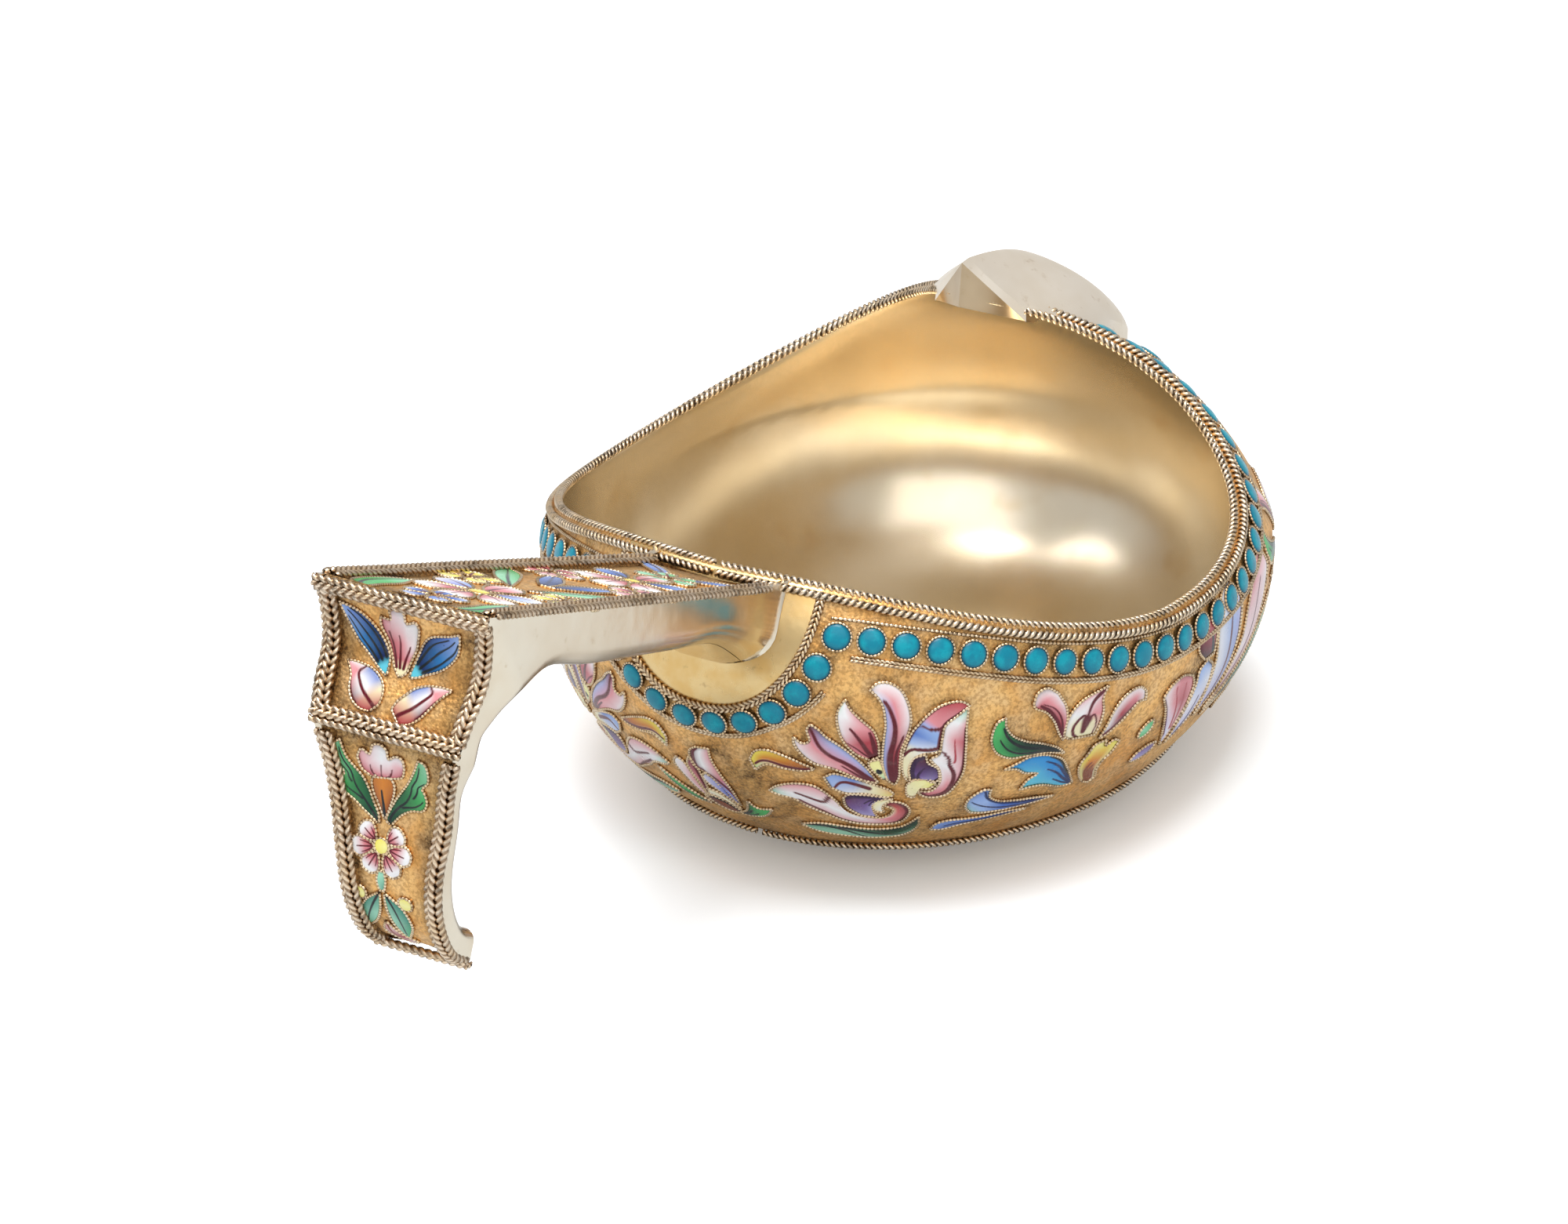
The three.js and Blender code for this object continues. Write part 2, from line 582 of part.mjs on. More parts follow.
// Two twisted wires side by side, laid on the face of a span of the handle.
function ropePair(name, span, from, to, sign) {
  const strand = (inset) => (t) => {
    const { at, out, half } = span(from + (to - from) * t);
    const raised = at.clone().addScaledVector(out, CLEARANCE + HANDLE_ROPE_RADIUS);
    return sideways(raised, sign * (half - inset));
  };
  const radius = HANDLE_ROPE_RADIUS;
  const step = HANDLE_LENGTH / (2 * BEND_STEPS);
  const insets = [radius, radius * (1 + STRAND_SPACING_share)];
  const strands = insets.map((inset) => tube(strand(inset), radius, step));
  addPiece(name, joined(strands), ROPE);
}

// Two twisted wires side by side across the handle.
function ropeAcross(name, span, place) {
  const { at, along, out, half } = span(place);
  const radius = HANDLE_ROPE_RADIUS;
  const middle = at.clone().addScaledVector(out, CLEARANCE + radius);
  const strands = [-1 / 2, 1 / 2].map((shift) => {
    const centre = middle.clone().addScaledVector(along, shift * STRAND_SPACING_share * radius);
    return tube((t) => sideways(centre, half * (2 * t - 1)), radius, END_HALF_WIDTH);
  });
  addPiece(name, joined(strands), ROPE);
}

// An enamelled spray as a thin oval cushion on the face of a span of the handle.
function faceSpray(name, span, from, to, breadth) {
  const rings = shares(BEND_STEPS, 2 * TRIM_share, 1 - 2 * TRIM_share).map((t) => {
    const { at, out, half } = span(from + (to - from) * t);
    const y = breadth * half * Math.sqrt(Math.sin(Math.PI * t));
    const low = at.clone().addScaledVector(out, SIDE_CLEARANCE);
    const high = low.clone().addScaledVector(out, ENAMEL_HEIGHT);
    return [sideways(high, -y), sideways(high, y), sideways(low, y), sideways(low, -y)];
  });
  addPiece(name, lofted(rings), ENAMEL);
}

function handleDress() {
  for (const [side, sign] of [["near", -1], ["far", 1]]) {
    handleSide(side, sign);
    ropePair(`rope_top_${side}`, arm, 1 / 100, 0.97, sign);
    ropePair(`rope_block_${side}`, block, 0.2, 0.83, sign);
    ropePair(`rope_hook_${side}`, hook, 0.09, 0.93, sign);
  }
  ropeAcross("rope_top_edge", block, 0.07);
  ropeAcross("rope_band", block, 0.95);
  ropeAcross("rope_hook_tip", hook, 0.98);
  faceSpray("enamel_handle_top", arm, 0.02, 0.95, EDGE_ENAMEL_share);
  faceSpray("enamel_handle_block", block, 0.16, 0.86, EDGE_ENAMEL_share);
  faceSpray("enamel_handle_hook", hook, 0.08, 0.94, EDGE_ENAMEL_share);
}

rimDress("near", 1);
rimDress("far", -1);
bowlShell();
lunetteDress();
capDress();
prowCap();
handlePlates();
handleDress();
spray("spray_handle", 0, lunetteArc(bandStandOff, 0, 1)(1 / 2)[1], HANDLE_SPRAY_shares);
spray("spray_prow", HALF_TURN, capArc(capGap + bandStandOff, 0, 1)(1 / 2)[1], PROW_SPRAY_shares);
for (const [name, longitude, ...place] of SIDE_SPRAY_shares) {
  const top = placeBelowRim(longitude, bandWireDrop)[1];
  spray(`${name}_near`, longitude, top, place);
  spray(`${name}_far`, -longitude, top, place);
}

export default dipper;
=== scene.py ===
import math

import bpy
import numpy as np
from mathutils import Matrix, Vector, kdtree


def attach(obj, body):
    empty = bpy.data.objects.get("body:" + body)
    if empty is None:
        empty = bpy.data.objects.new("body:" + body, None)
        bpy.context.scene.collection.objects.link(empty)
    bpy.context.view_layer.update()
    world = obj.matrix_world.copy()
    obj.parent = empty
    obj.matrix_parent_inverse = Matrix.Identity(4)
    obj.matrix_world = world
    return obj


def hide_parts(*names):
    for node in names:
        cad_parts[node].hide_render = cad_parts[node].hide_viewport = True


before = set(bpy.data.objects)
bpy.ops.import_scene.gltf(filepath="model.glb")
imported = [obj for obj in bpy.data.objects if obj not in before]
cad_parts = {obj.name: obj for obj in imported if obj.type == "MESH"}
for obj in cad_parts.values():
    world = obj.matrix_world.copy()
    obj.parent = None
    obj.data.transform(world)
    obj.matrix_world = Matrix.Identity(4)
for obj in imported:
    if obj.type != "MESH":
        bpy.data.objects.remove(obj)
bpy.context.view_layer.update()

MM = 0.001


# ---------------------------------------------------------------- the bowl
# The bowl is raised from one sheet of silver and gilded. Its inside is burnished, and its outside
# is chased with a fine matt stipple between the borders, which holds a brown patina.
# A place on it is a longitude, 0 at the handle and 180 at the prow, and a latitude in degrees.
PROW_REACH, HANDLE_REACH, HALF_WIDTH = 44.5 * MM, 32.5 * MM, 33 * MM
BELLY_HEIGHT, CROWN_HEIGHT, CROWN_POWER, CROWN_LEAN = 21 * MM, 26.6 * MM, 1.8, 0.19
SHOULDER_HOLLOW, SHOULDER_AT, SHOULDER_SPREAD = 0.11, 55, 28
SWELL_TO_PROW, SWELL_OF_ENDS = 0.1, 0.055
RIM_HEIGHT, RIM_RISE_AT_PROW, RIM_RISE_AT_HANDLE = 22.2, 21.4, 12.3
PROW_RISE_SPREAD, HANDLE_RISE_SPREAD = 48, 75
WALL_THICKNESS, LIP_THINNING, THINNING_SPREAD = 1 * MM, 0.45, 5
FOOT_EDGE = 0.42
BAND_FOOT = -54


def wall(lon, lat):
    turn = math.radians(180 - lon)
    ahead = math.cos(turn)
    rise, spread = math.sin(math.radians(lat)), math.cos(math.radians(lat))
    if lat < 0:
        height, breadth = BELLY_HEIGHT * (1 + rise), FOOT_EDGE + (1 - FOOT_EDGE) * spread
    else:
        height = BELLY_HEIGHT + CROWN_HEIGHT * rise ** (2 / CROWN_POWER)
        from_prow = math.degrees(math.acos(max(-1, min(1, ahead))))
        shoulder = math.exp(-(((from_prow - SHOULDER_AT) / SHOULDER_SPREAD) ** 2))
        breadth = max(spread, 0) ** (2 / CROWN_POWER) * (1 - SHOULDER_HOLLOW * shoulder * rise)
    reach = PROW_REACH if ahead > 0 else HANDLE_REACH
    swell = 1 + SWELL_TO_PROW * ahead + SWELL_OF_ENDS * (ahead * ahead - 0.5)
    lean = -CROWN_LEAN * (height - BELLY_HEIGHT)
    return Vector((reach * ahead * breadth + lean, -HALF_WIDTH * math.sin(turn) * swell * breadth, height))


def wall_out(lon, lat, step=0.2):
    low = max(lat, -90 + step)
    along = wall(lon + step, low) - wall(lon - step, low)
    up = wall(lon, low + step) - wall(lon, low - step)
    return along.cross(up).normalized()


def on_wall(lon, lat, out=0.0):
    return wall(lon, lat) + wall_out(lon, lat) * out


def rim_latitude(lon):
    away = abs((lon + 180) % 360 - 180)
    prow = math.exp(-(((180 - away) / PROW_RISE_SPREAD) ** 2))
    handle = math.exp(-((away / HANDLE_RISE_SPREAD) ** 2.5))
    height = (RIM_HEIGHT + RIM_RISE_AT_PROW * prow + RIM_RISE_AT_HANDLE * handle) * MM
    return math.degrees(math.asin(((height - BELLY_HEIGHT) / CROWN_HEIGHT) ** (CROWN_POWER / 2)))


def below_rim(lon, drop, step=0.2):
    """The place at this drop below the lip, square to it."""
    rim = rim_latitude(lon)
    edge = wall(lon + step, rim_latitude(lon + step)) - wall(lon - step, rim_latitude(lon - step))
    down = edge.normalized().cross(wall_out(lon, rim)) * drop
    east = wall(lon + step, rim) - wall(lon - step, rim)
    north = wall(lon, rim) - wall(lon, rim - 2 * step)
    ee, en, nn = east.dot(east), east.dot(north), north.dot(north)
    de, dn = down.dot(east), down.dot(north)
    scale = 2 * step / (ee * nn - en * en)
    return lon + scale * (de * nn - dn * en), rim + scale * (dn * ee - de * en)


def rolled(name, across, along, place, merge=0.002 * MM, turn_out=True):
    """A sheet of across by along faces, each corner laid at place(i, j), seams closed.

    Where place also gives a colour, the corners keep it as their tone."""
    bpy.ops.object.select_all(action="DESELECT")
    bpy.ops.mesh.primitive_grid_add(x_subdivisions=across, y_subdivisions=along, size=2)
    sheet = bpy.context.object
    sheet.name = name
    sheet.data.name = name
    spots, tones = [], []
    for corner in sheet.data.vertices:
        i = round((corner.co.x + 1) / 2 * across)
        j = round((corner.co.y + 1) / 2 * along)
        spot = place(i, j)
        if isinstance(spot, tuple):
            spot, tone = spot
            tones.extend(tone)
        spots.extend(spot)
    sheet.data.vertices.foreach_set("co", spots)
    if tones:
        sheet.data.color_attributes.new("tone", "FLOAT_COLOR", "POINT").data.foreach_set("color", tones)
    sheet.data.update()
    bpy.ops.object.mode_set(mode="EDIT")
    bpy.ops.mesh.select_all(action="SELECT")
    bpy.ops.mesh.remove_doubles(threshold=merge)
    if turn_out:
        bpy.ops.mesh.normals_make_consistent(inside=False)
    bpy.ops.object.mode_set(mode="OBJECT")
    bpy.ops.object.shade_smooth()
    return sheet


def joined(name, parts):
    bpy.ops.object.select_all(action="DESELECT")
    for part in parts:
        part.select_set(True)
    bpy.context.view_layer.objects.active = parts[0]
    if len(parts) > 1:
        bpy.ops.object.join()
    whole = bpy.context.object
    whole.name = name
    whole.data.name = name
    return whole


class Value:
    """One output of a finish's nodes, so that sums on it are written as sums."""

    def __init__(self, finish, socket):
        self.finish, self.socket = finish, socket

    def math(self, operation, *terms):
        return self.finish.node("ShaderNodeMath", {"operation": operation}, dict(enumerate(terms)))

    def __add__(self, other):
        return self.math("ADD", self, other)

    def __mul__(self, other):
        return self.math("MULTIPLY", self, other)

    def __sub__(self, other):
        return self.math("SUBTRACT", self, other)

    def __rsub__(self, other):
        return self.math("SUBTRACT", other, self)

    __radd__, __rmul__ = __add__, __mul__

    def span(self, low, high):
        """0 below low, 1 above high, smooth between."""
        settings = {"interpolation_type": "SMOOTHSTEP"}
        return self.finish.node("ShaderNodeMapRange", settings, {0: self, 1: low, 2: high})


class Finish:
    """A surface finish, built from nodes on an empty material."""

    def __init__(self, name):
        self.material = bpy.data.materials.new(name)
        self.material.use_nodes = True
        self.tree = self.material.node_tree
        self.tree.nodes.clear()
        self.spot = self.node("ShaderNodeTexCoord", output="Object")

    def node(self, kind, settings=None, inputs=None, output=0):
        made = self.tree.nodes.new(kind)
        for key, value in (settings or {}).items():
            setattr(made, key, value)
        for key, value in (inputs or {}).items():
            if isinstance(value, Value):
                self.tree.links.new(value.socket, made.inputs[key])
            elif value is not None:
                made.inputs[key].default_value = value
        return Value(self, made.outputs[output]) if len(made.outputs) else None

    def noise(self, size, detail=3, rough=0.5):
        inputs = {"Vector": self.spot, "Scale": 1 / size, "Detail": detail, "Roughness": rough}
        return self.node("ShaderNodeTexNoise", None, inputs, "Fac")

    def cells(self, size):
        return self.node("ShaderNodeTexVoronoi", None, {"Vector": self.spot, "Scale": 1 / size}, "Distance")

    def mixed(self, share, first, second):
        settings = {"data_type": "RGBA"}
        full = lambda colour: (*colour, 1) if isinstance(colour, tuple) else colour
        return self.node("ShaderNodeMix", settings, {0: share, 6: full(first), 7: full(second)}, 2)

    def bump(self, height, depth, strength=1.0, normal=None):
        inputs = {"Height": height, "Distance": depth, "Strength": strength, "Normal": normal}
        return self.node("ShaderNodeBump", None, inputs)

    def tone(self):
        """The colour kept at the mesh's corners."""
        return self.node("ShaderNodeAttribute", {"attribute_name": "tone"}, None, "Color")

    def tone_share(self):
        """The corners' tone where it is only a share, such as of depth."""
        return self.node("ShaderNodeSeparateColor", None, {0: self.tone()}, "Red")

    def surface(self, colour, roughness, normal, metallic=1.0, specular=0.5):
        sockets = {"Base Color": colour, "Roughness": roughness, "Normal": normal, "Metallic": metallic,
                   "Specular IOR Level": specular}
        shader = self.node("ShaderNodeBsdfPrincipled", None, sockets)
        self.node("ShaderNodeOutputMaterial", None, {"Surface": shader})
        return self.material


def burnished_inside():
    look = Finish("burnished pale gilding")
    cloud = look.noise(14 * MM, 3)
    colour = look.mixed(cloud.span(0.35, 0.68), (0.80, 0.68, 0.49), (0.86, 0.77, 0.62))
    stain = look.noise(6 * MM, 2).span(0.58, 0.78)
    colour = look.mixed(stain * 0.35, colour, (0.66, 0.45, 0.22))
    dents = look.bump(look.noise(13 * MM, 1), 0.5 * MM, 0.6)
    return look.surface(colour, 0.2 + cloud * 0.1, dents)


def stippled_gilt(name="stippled gilding", worn=0.18):
    look = Finish(name)
    grain = look.cells(0.34 * MM)
    fine = look.noise(0.5 * MM, 3, 0.7)
    cloud = look.noise(5 * MM, 3, 0.6)
    warm = look.noise(2.2 * MM, 2, 0.5)
    shade = look.mixed(cloud.span(0.3, 0.7), (0.80, 0.42, 0.13), (0.97, 0.60, 0.23))
    shade = look.mixed(warm.span(0.4, 0.7) * 0.5, shade, (0.86, 0.62, 0.34))
    edge = look.tone_share()
    speck = look.noise(0.24 * MM, 2, 0.6)
    patch = look.noise(4.2 * MM, 4, 0.7).span(0.5, 0.68)
    shade = look.mixed(look.noise(0.36 * MM, 2, 0.6).span(0.42, 0.62) * 0.5, shade, (0.40, 0.20, 0.065))
    shade = look.mixed(patch * (worn + speck.span(0.45, 0.6) * 0.45), shade, (0.16, 0.085, 0.035))
    # The tone darkens the ground beside wires, studs and borders: real patina, and painted shade in the
    # creases there.
    edge_grime_and_shade = edge * (worn + 0.1 + patch * 0.35 + speck.span(0.42, 0.58) * 0.3)
    shade = look.mixed(edge_grime_and_shade, shade, (0.06, 0.032, 0.016))
    relief = look.bump(fine * 0.6 + (1 - grain) * 0.5, 0.12 * MM, 0.9)
    return look.surface(shade, 0.42 + fine * 0.15, relief)


def plain_gilt():
    look = Finish("plain polished gilding")
    cloud = look.noise(4 * MM, 3, 0.6)
    shade = look.mixed(cloud.span(0.35, 0.7), (0.80, 0.58, 0.28), (0.74, 0.47, 0.17))
    tarnish = look.noise(1.6 * MM, 4, 0.65).span(0.62, 0.75)
    shade = look.mixed(tarnish * 0.55, shade, (0.22, 0.13, 0.05))
    dents = look.bump(look.noise(3 * MM, 2), 0.12 * MM, 0.5)
    return look.surface(shade, 0.2 + cloud * 0.15, dents)


INSIDE, STIPPLED, PLAIN = burnished_inside(), stippled_gilt(), plain_gilt()

BOWL_SLICES, OUTER_ROWS, INNER_ROWS = 360, 96, 44
bowl_rows = [("disc", 0.0), ("disc", 0.5)]
bowl_rows += [("out", k / OUTER_ROWS) for k in range(OUTER_ROWS + 1)]
bowl_rows += [("lip", 0.25), ("lip", 0.75)]
bowl_rows += [("in", 1 - k / INNER_ROWS) for k in range(INNER_ROWS + 1)]
bowl_rows += [("floor", 0.5), ("floor", 0.0)]


def bowl_corner(i, j):
    lon = 360 * i / BOWL_SLICES - 180
    kind, share = bowl_rows[j]
    rim = rim_latitude(lon)
    if kind == "out":
        return on_wall(lon, -90 + (rim + 90) * share)
    if kind == "in":
        lat = -90 + (rim - 0.4 + 90) * share
        thinned = LIP_THINNING * math.exp(-(((rim - lat) / THINNING_SPREAD) ** 2))
        return on_wall(lon, lat, -WALL_THICKNESS * (1 - thinned))
    if kind == "lip":
        return on_wall(lon, rim, -(1 - LIP_THINNING) * WALL_THICKNESS * share)
    foot = wall(lon, -90)
    middle = (wall(0, -90) + wall(180, -90)) / 2
    spot = middle.lerp(foot, share)
    return spot if kind == "disc" else spot + Vector((0, 0, WALL_THICKNESS))


bowl = rolled("bowl", BOWL_SLICES, len(bowl_rows) - 1, bowl_corner, turn_out=False)
for material in (INSIDE, STIPPLED, PLAIN):
    bowl.data.materials.append(material)
LUNETTE_HALF_WIDTH, LUNETTE_DEPTH = 11.5 * MM, 14.6 * MM
REACH_ASIDE = HALF_WIDTH * 0.9


def lunette_arc(grow, turn):
    """A place on an arc round the half disc, this much larger than its edge."""
    across = math.degrees(math.asin((LUNETTE_HALF_WIDTH + grow) / REACH_ASIDE))
    drop = (LUNETTE_DEPTH + grow) * math.sin(turn) ** 0.75
    return below_rim(across * math.cos(turn), drop)


def in_lunette(spot):
    """Whether a place lies on the plain half disc under the handle."""
    share = abs(spot.y) / (LUNETTE_HALF_WIDTH * 0.89)
    if spot.x > -24 * MM or share > 1:
        return False
    lon = math.degrees(math.asin(max(-1, min(1, -spot.y / REACH_ASIDE))))
    lowest = on_wall(*below_rim(lon, LUNETTE_DEPTH * (1 - share * share) ** 0.375))
    return spot.z > lowest.z


band_foot_height = wall(0, BAND_FOOT).z
for face in bowl.data.polygons:
    middle = face.center
    outward = face.normal.dot(Vector((middle.x - 4 * MM, middle.y, (middle.z - 24 * MM) * 0.7)))
    if outward < 0 or middle.z > wall(0, 89).z:
        face.material_index = 0
    elif middle.z < band_foot_height or in_lunette(middle):
        face.material_index = 2
    else:
        face.material_index = 1
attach(bowl, "root")
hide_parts("bowl_shell")


# ---------------------------------------------------------------- ropes and wires on the bowl
# Drawn silver wire is twisted in pairs, flattened a little, gilded and soldered on along the lip,
# round the plain field under the handle, round the cap and below the enamelled band.
def rope_finish(name, bright, dark, valley_shade_colour=None):
    look = Finish(name)
    painted_valley_shade = look.tone_share().span(0.08, 0.62)
    wear = look.noise(2.5 * MM, 3, 0.6)
    rubbed = tuple(part * share for part, share in zip(bright, (0.92, 0.84, 0.7)))
    shade = look.mixed(wear.span(0.35, 0.7), bright, rubbed)
    grime_and_shade = look.noise(3.2 * MM, 3, 0.6).span(0.42, 0.62)
    # Painted shade darkens the valleys between the twisted wires and between the grains; real grime adds
    # dark spots and deepens it.
    shade = look.mixed(painted_valley_shade * (0.86 + grime_and_shade * 0.14), shade, valley_shade_colour or dark)
    shade = look.mixed(grime_and_shade * look.noise(0.5 * MM, 2).span(0.45, 0.62) * 0.6, shade, dark)
    fine = look.bump(look.noise(0.22 * MM, 2), 0.05 * MM, 0.8)
    return look.surface(shade, 0.26 + wear * 0.12, fine)


ROPE = rope_finish("twisted gilt wire", (0.93, 0.76, 0.57), (0.05, 0.028, 0.014))
PALE_WIRE = rope_finish("pale fine wire", (0.90, 0.72, 0.50), (0.20, 0.11, 0.055))
FINE_WIRE = rope_finish("fine twisted gilt wire", (0.88, 0.68, 0.46), (0.06, 0.03, 0.014))


def spaced(places, gap):
    """Points along a path of places, evenly spaced, with the path's length."""
    rough = [places(k / 240) for k in range(241)]
    lengths = np.cumsum([0] + [(b - a).length for a, b in zip(rough, rough[1:])])
    count = max(2, round(lengths[-1] / gap))
    shares = np.interp(np.linspace(0, lengths[-1], count + 1), lengths, np.linspace(0, 1, 241))
    return [places(float(share)) for share in shares], float(lengths[-1])


def frames(points):
    """Each point with two directions square to the path, turned as little as they can be."""
    count = len(points)
    found, side = [], None
    for k, point in enumerate(points):
        ahead = (points[min(k + 1, count - 1)] - points[max(k - 1, 0)]).normalized()
        if side is None:
            side = ahead.orthogonal().normalized()
        side = (side - ahead * side.dot(ahead)).normalized()
        found.append((point, side, ahead.cross(side)))
    return found


def twisted(name, places, radius, pitch, look, sides=8, steps=6, hand=1):
    """A rope of two wires twisted round each other: a waisted section that turns along the path."""
    points, _ = spaced(places, pitch / steps)
    held = frames(points)
    last = len(points) - 1

    def corner(i, j):
        turn = 2 * math.pi * i / sides
        lobe = 0.52 + 0.48 * abs(math.cos(turn)) ** 0.8
        spin = turn + hand * math.pi * 2 * j / steps / 2
        point, side, up = held[j]
        reach = radius * lobe * (0.35 if j in (0, last) else 1.0)
        spot = point + (side * math.cos(spin) + up * math.sin(spin)) * reach
        # The tone is the depth of the waist between the wires, where painted shade falls.
        return spot, ((1 - lobe) / 0.48, 0, 0, 1)

    rope = rolled(name, sides, last, corner, merge=radius * 0.02)
    rope.data.materials.append(look)
    return rope


def beaded(name, places, radius, pitch, look, sides=6, closed=False):
    """A fine twisted wire, seen as a row of grains."""
    points, length = spaced(places, pitch / 3)
    while len(points) % 3 != 1:
        points, length = spaced(places, length / len(points))
    held = frames(points)
    last = len(points) - 1

    def corner(i, j):
        turn = 2 * math.pi * i / sides
        swell = (1.0, 0.9, 0.58)[j % 3] if 0 < j < last else (1.0 if closed else 0.3)
        point, side, up = held[j]
        spot = point + (side * math.cos(turn) + up * math.sin(turn)) * radius * swell
        # The tone is the depth of the gap between grains, where painted shade falls.
        return spot, ((1 - swell) * 1.4, 0, 0, 1)

    wire = rolled(name, sides, last, corner, merge=radius * 0.02)
    wire.data.materials.append(look)
    return wire


def root_piece(piece, node):
    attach(piece, "root")
    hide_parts(node)


ROPE_RADIUS, FINE_RADIUS, BAND_RADIUS, STUD_RADIUS = 0.44 * MM, 0.2 * MM, 0.28 * MM, 1.42 * MM
STRAND_RADIUS, STRAND_PITCH, STRAND_OFFSET, STRAND_LIFT = 0.2 * MM, 0.46 * MM, 0.17, 0.15 * MM
FINE_PITCH, FINE_LIFT, ROPE_PITCH = 0.42 * MM, 0.12 * MM, 0.64 * MM
FOOT_ROPE, FOOT_PITCH, FOOT_LIFT = 0.32 * MM, 0.55 * MM, 0.3 * MM
LUNETTE_STRAND, LUNETTE_PITCH, LUNETTE_LIFT = 0.26 * MM, 0.55 * MM, 0.16 * MM
ROPE_START, UPPER_END, LOWER_END = 0.6, 167, 164
FINE_SPAN, BAND_SPAN, STUD_SPAN = (26, 158), (31.5, 150), (28, 154)
upper_drop = -0.06 * MM
lower_drop = upper_drop + 0.86 * MM
fine_drop = lower_drop + 0.66 * MM
stud_drop = fine_drop + FINE_RADIUS + 0.08 * MM + STUD_RADIUS
band_drop = stud_drop + STUD_RADIUS + 0.25 * MM + BAND_RADIUS
stud_off = FINE_RADIUS + 0.55 * MM + STUD_RADIUS
band_off = stud_off + STUD_RADIUS + 0.2 * MM + BAND_RADIUS


def sunk_by_handle(lon):
    """How much further below the lip the stud row and its wires lie as they near the handle."""
    return 1.1 * MM * min(1, max(0, (58 - abs(lon)) / 32)) ** 1.5


def beside_rim(drop, sign, start, end, out):
    """A run this far below the lip, between two longitudes on the near (1) or the far (-1) side."""
    def place(share):
        lon = sign * (start + (end - start) * share)
        return on_wall(*below_rim(lon, drop + (sunk_by_handle(lon) if drop > lower_drop else 0)), out)

    return place


def double_wire(name, node, run, hand=1):
    """Two thin strands side by side, twisted opposite ways; run(shift) is the run of one."""
    strands = [twisted("strand", run(shift * MM), STRAND_RADIUS, STRAND_PITCH, PALE_WIRE,
                       sides=6, steps=4, hand=hand * turn)
               for shift, turn in ((-STRAND_OFFSET, 1), (STRAND_OFFSET, -1))]
    root_piece(joined(name, strands), node)


for side, sign in (("near", 1), ("far", -1)):
    upper = twisted(f"upper_lip_rope_{side}",
                    beside_rim(upper_drop, sign, ROPE_START, UPPER_END, -0.3 * MM),
                    ROPE_RADIUS, ROPE_PITCH, ROPE, hand=sign)
    root_piece(upper, f"rim_rope_upper_{side}")
    lower = twisted(f"lower_lip_rope_{side}",
                    beside_rim(lower_drop, sign, ROPE_START, LOWER_END, 0.26 * MM),
                    ROPE_RADIUS, ROPE_PITCH, ROPE, hand=-sign)
    root_piece(lower, f"rim_rope_lower_{side}")
    fine = beaded(f"fine_lip_wire_{side}", beside_rim(fine_drop, sign, *FINE_SPAN, FINE_LIFT),
                  FINE_RADIUS, FINE_PITCH, FINE_WIRE)
    root_piece(fine, f"rim_wire_{side}")
    double_wire(f"band_wires_{side}", f"band_wire_{side}",
                lambda shift: beside_rim(band_drop + shift, sign, *BAND_SPAN, STRAND_LIFT), sign)
    foot = twisted(f"foot_rope_{side}",
                   lambda share: on_wall(sign * (ROPE_START + 2 * (90 - ROPE_START) * share), BAND_FOOT,
                                         FOOT_LIFT),
                   FOOT_ROPE, FOOT_PITCH, ROPE, hand=sign)
    root_piece(foot, f"foot_wire_{side}")


def arc_turn(clear, share):
    """The turn at a share of a half round that stays clear of its ends."""
    return math.pi * (clear + (1 - 2 * clear) * share)


def lunette_run(grow, clear, out):
    return lambda share: on_wall(*lunette_arc(grow, arc_turn(clear, share)), out)


inner = [twisted("strand", lunette_run(shift * MM, 0.008, LUNETTE_LIFT), LUNETTE_STRAND, LUNETTE_PITCH,
                 PALE_WIRE, hand=turn) for shift, turn in ((0.0, 1), (0.44, -1))]
root_piece(joined("lunette_rope", inner), "lunette_wire_inner")
double_wire("lunette_outer_wires", "lunette_wire_outer",
            lambda shift: lunette_run(band_off + shift, 0.14, STRAND_LIFT))

CAP_MIDDLE, CAP_HALF_WIDTH, CAP_HALF_LENGTH = 42, 9 * MM, 12.2 * MM
cap_degree = (wall(180, CAP_MIDDLE) - wall(179, CAP_MIDDLE)).length
cap_rise = (wall(180, CAP_MIDDLE) - wall(180, CAP_MIDDLE + 1)).length
cap_gap = 0.86 * MM


def cap_arc(grow, turn):
    """A place on an arc round the cap's foot, this much larger than the cap."""
    across = (CAP_HALF_WIDTH + grow) / cap_degree
    return 180 - across * math.cos(turn), CAP_MIDDLE - (CAP_HALF_LENGTH + grow) / cap_rise * math.sin(turn)


def cap_run(grow, clear, out):
    return lambda share: on_wall(*cap_arc(grow, arc_turn(clear, share)), out)


root_piece(beaded("cap_fine_wire", cap_run(cap_gap, 0.09, FINE_LIFT), FINE_RADIUS, FINE_PITCH, FINE_WIRE),
           "prow_wire_inner")
double_wire("cap_outer_wires", "prow_wire_outer",
            lambda shift: cap_run(cap_gap + band_off + shift, 0.2, STRAND_LIFT))


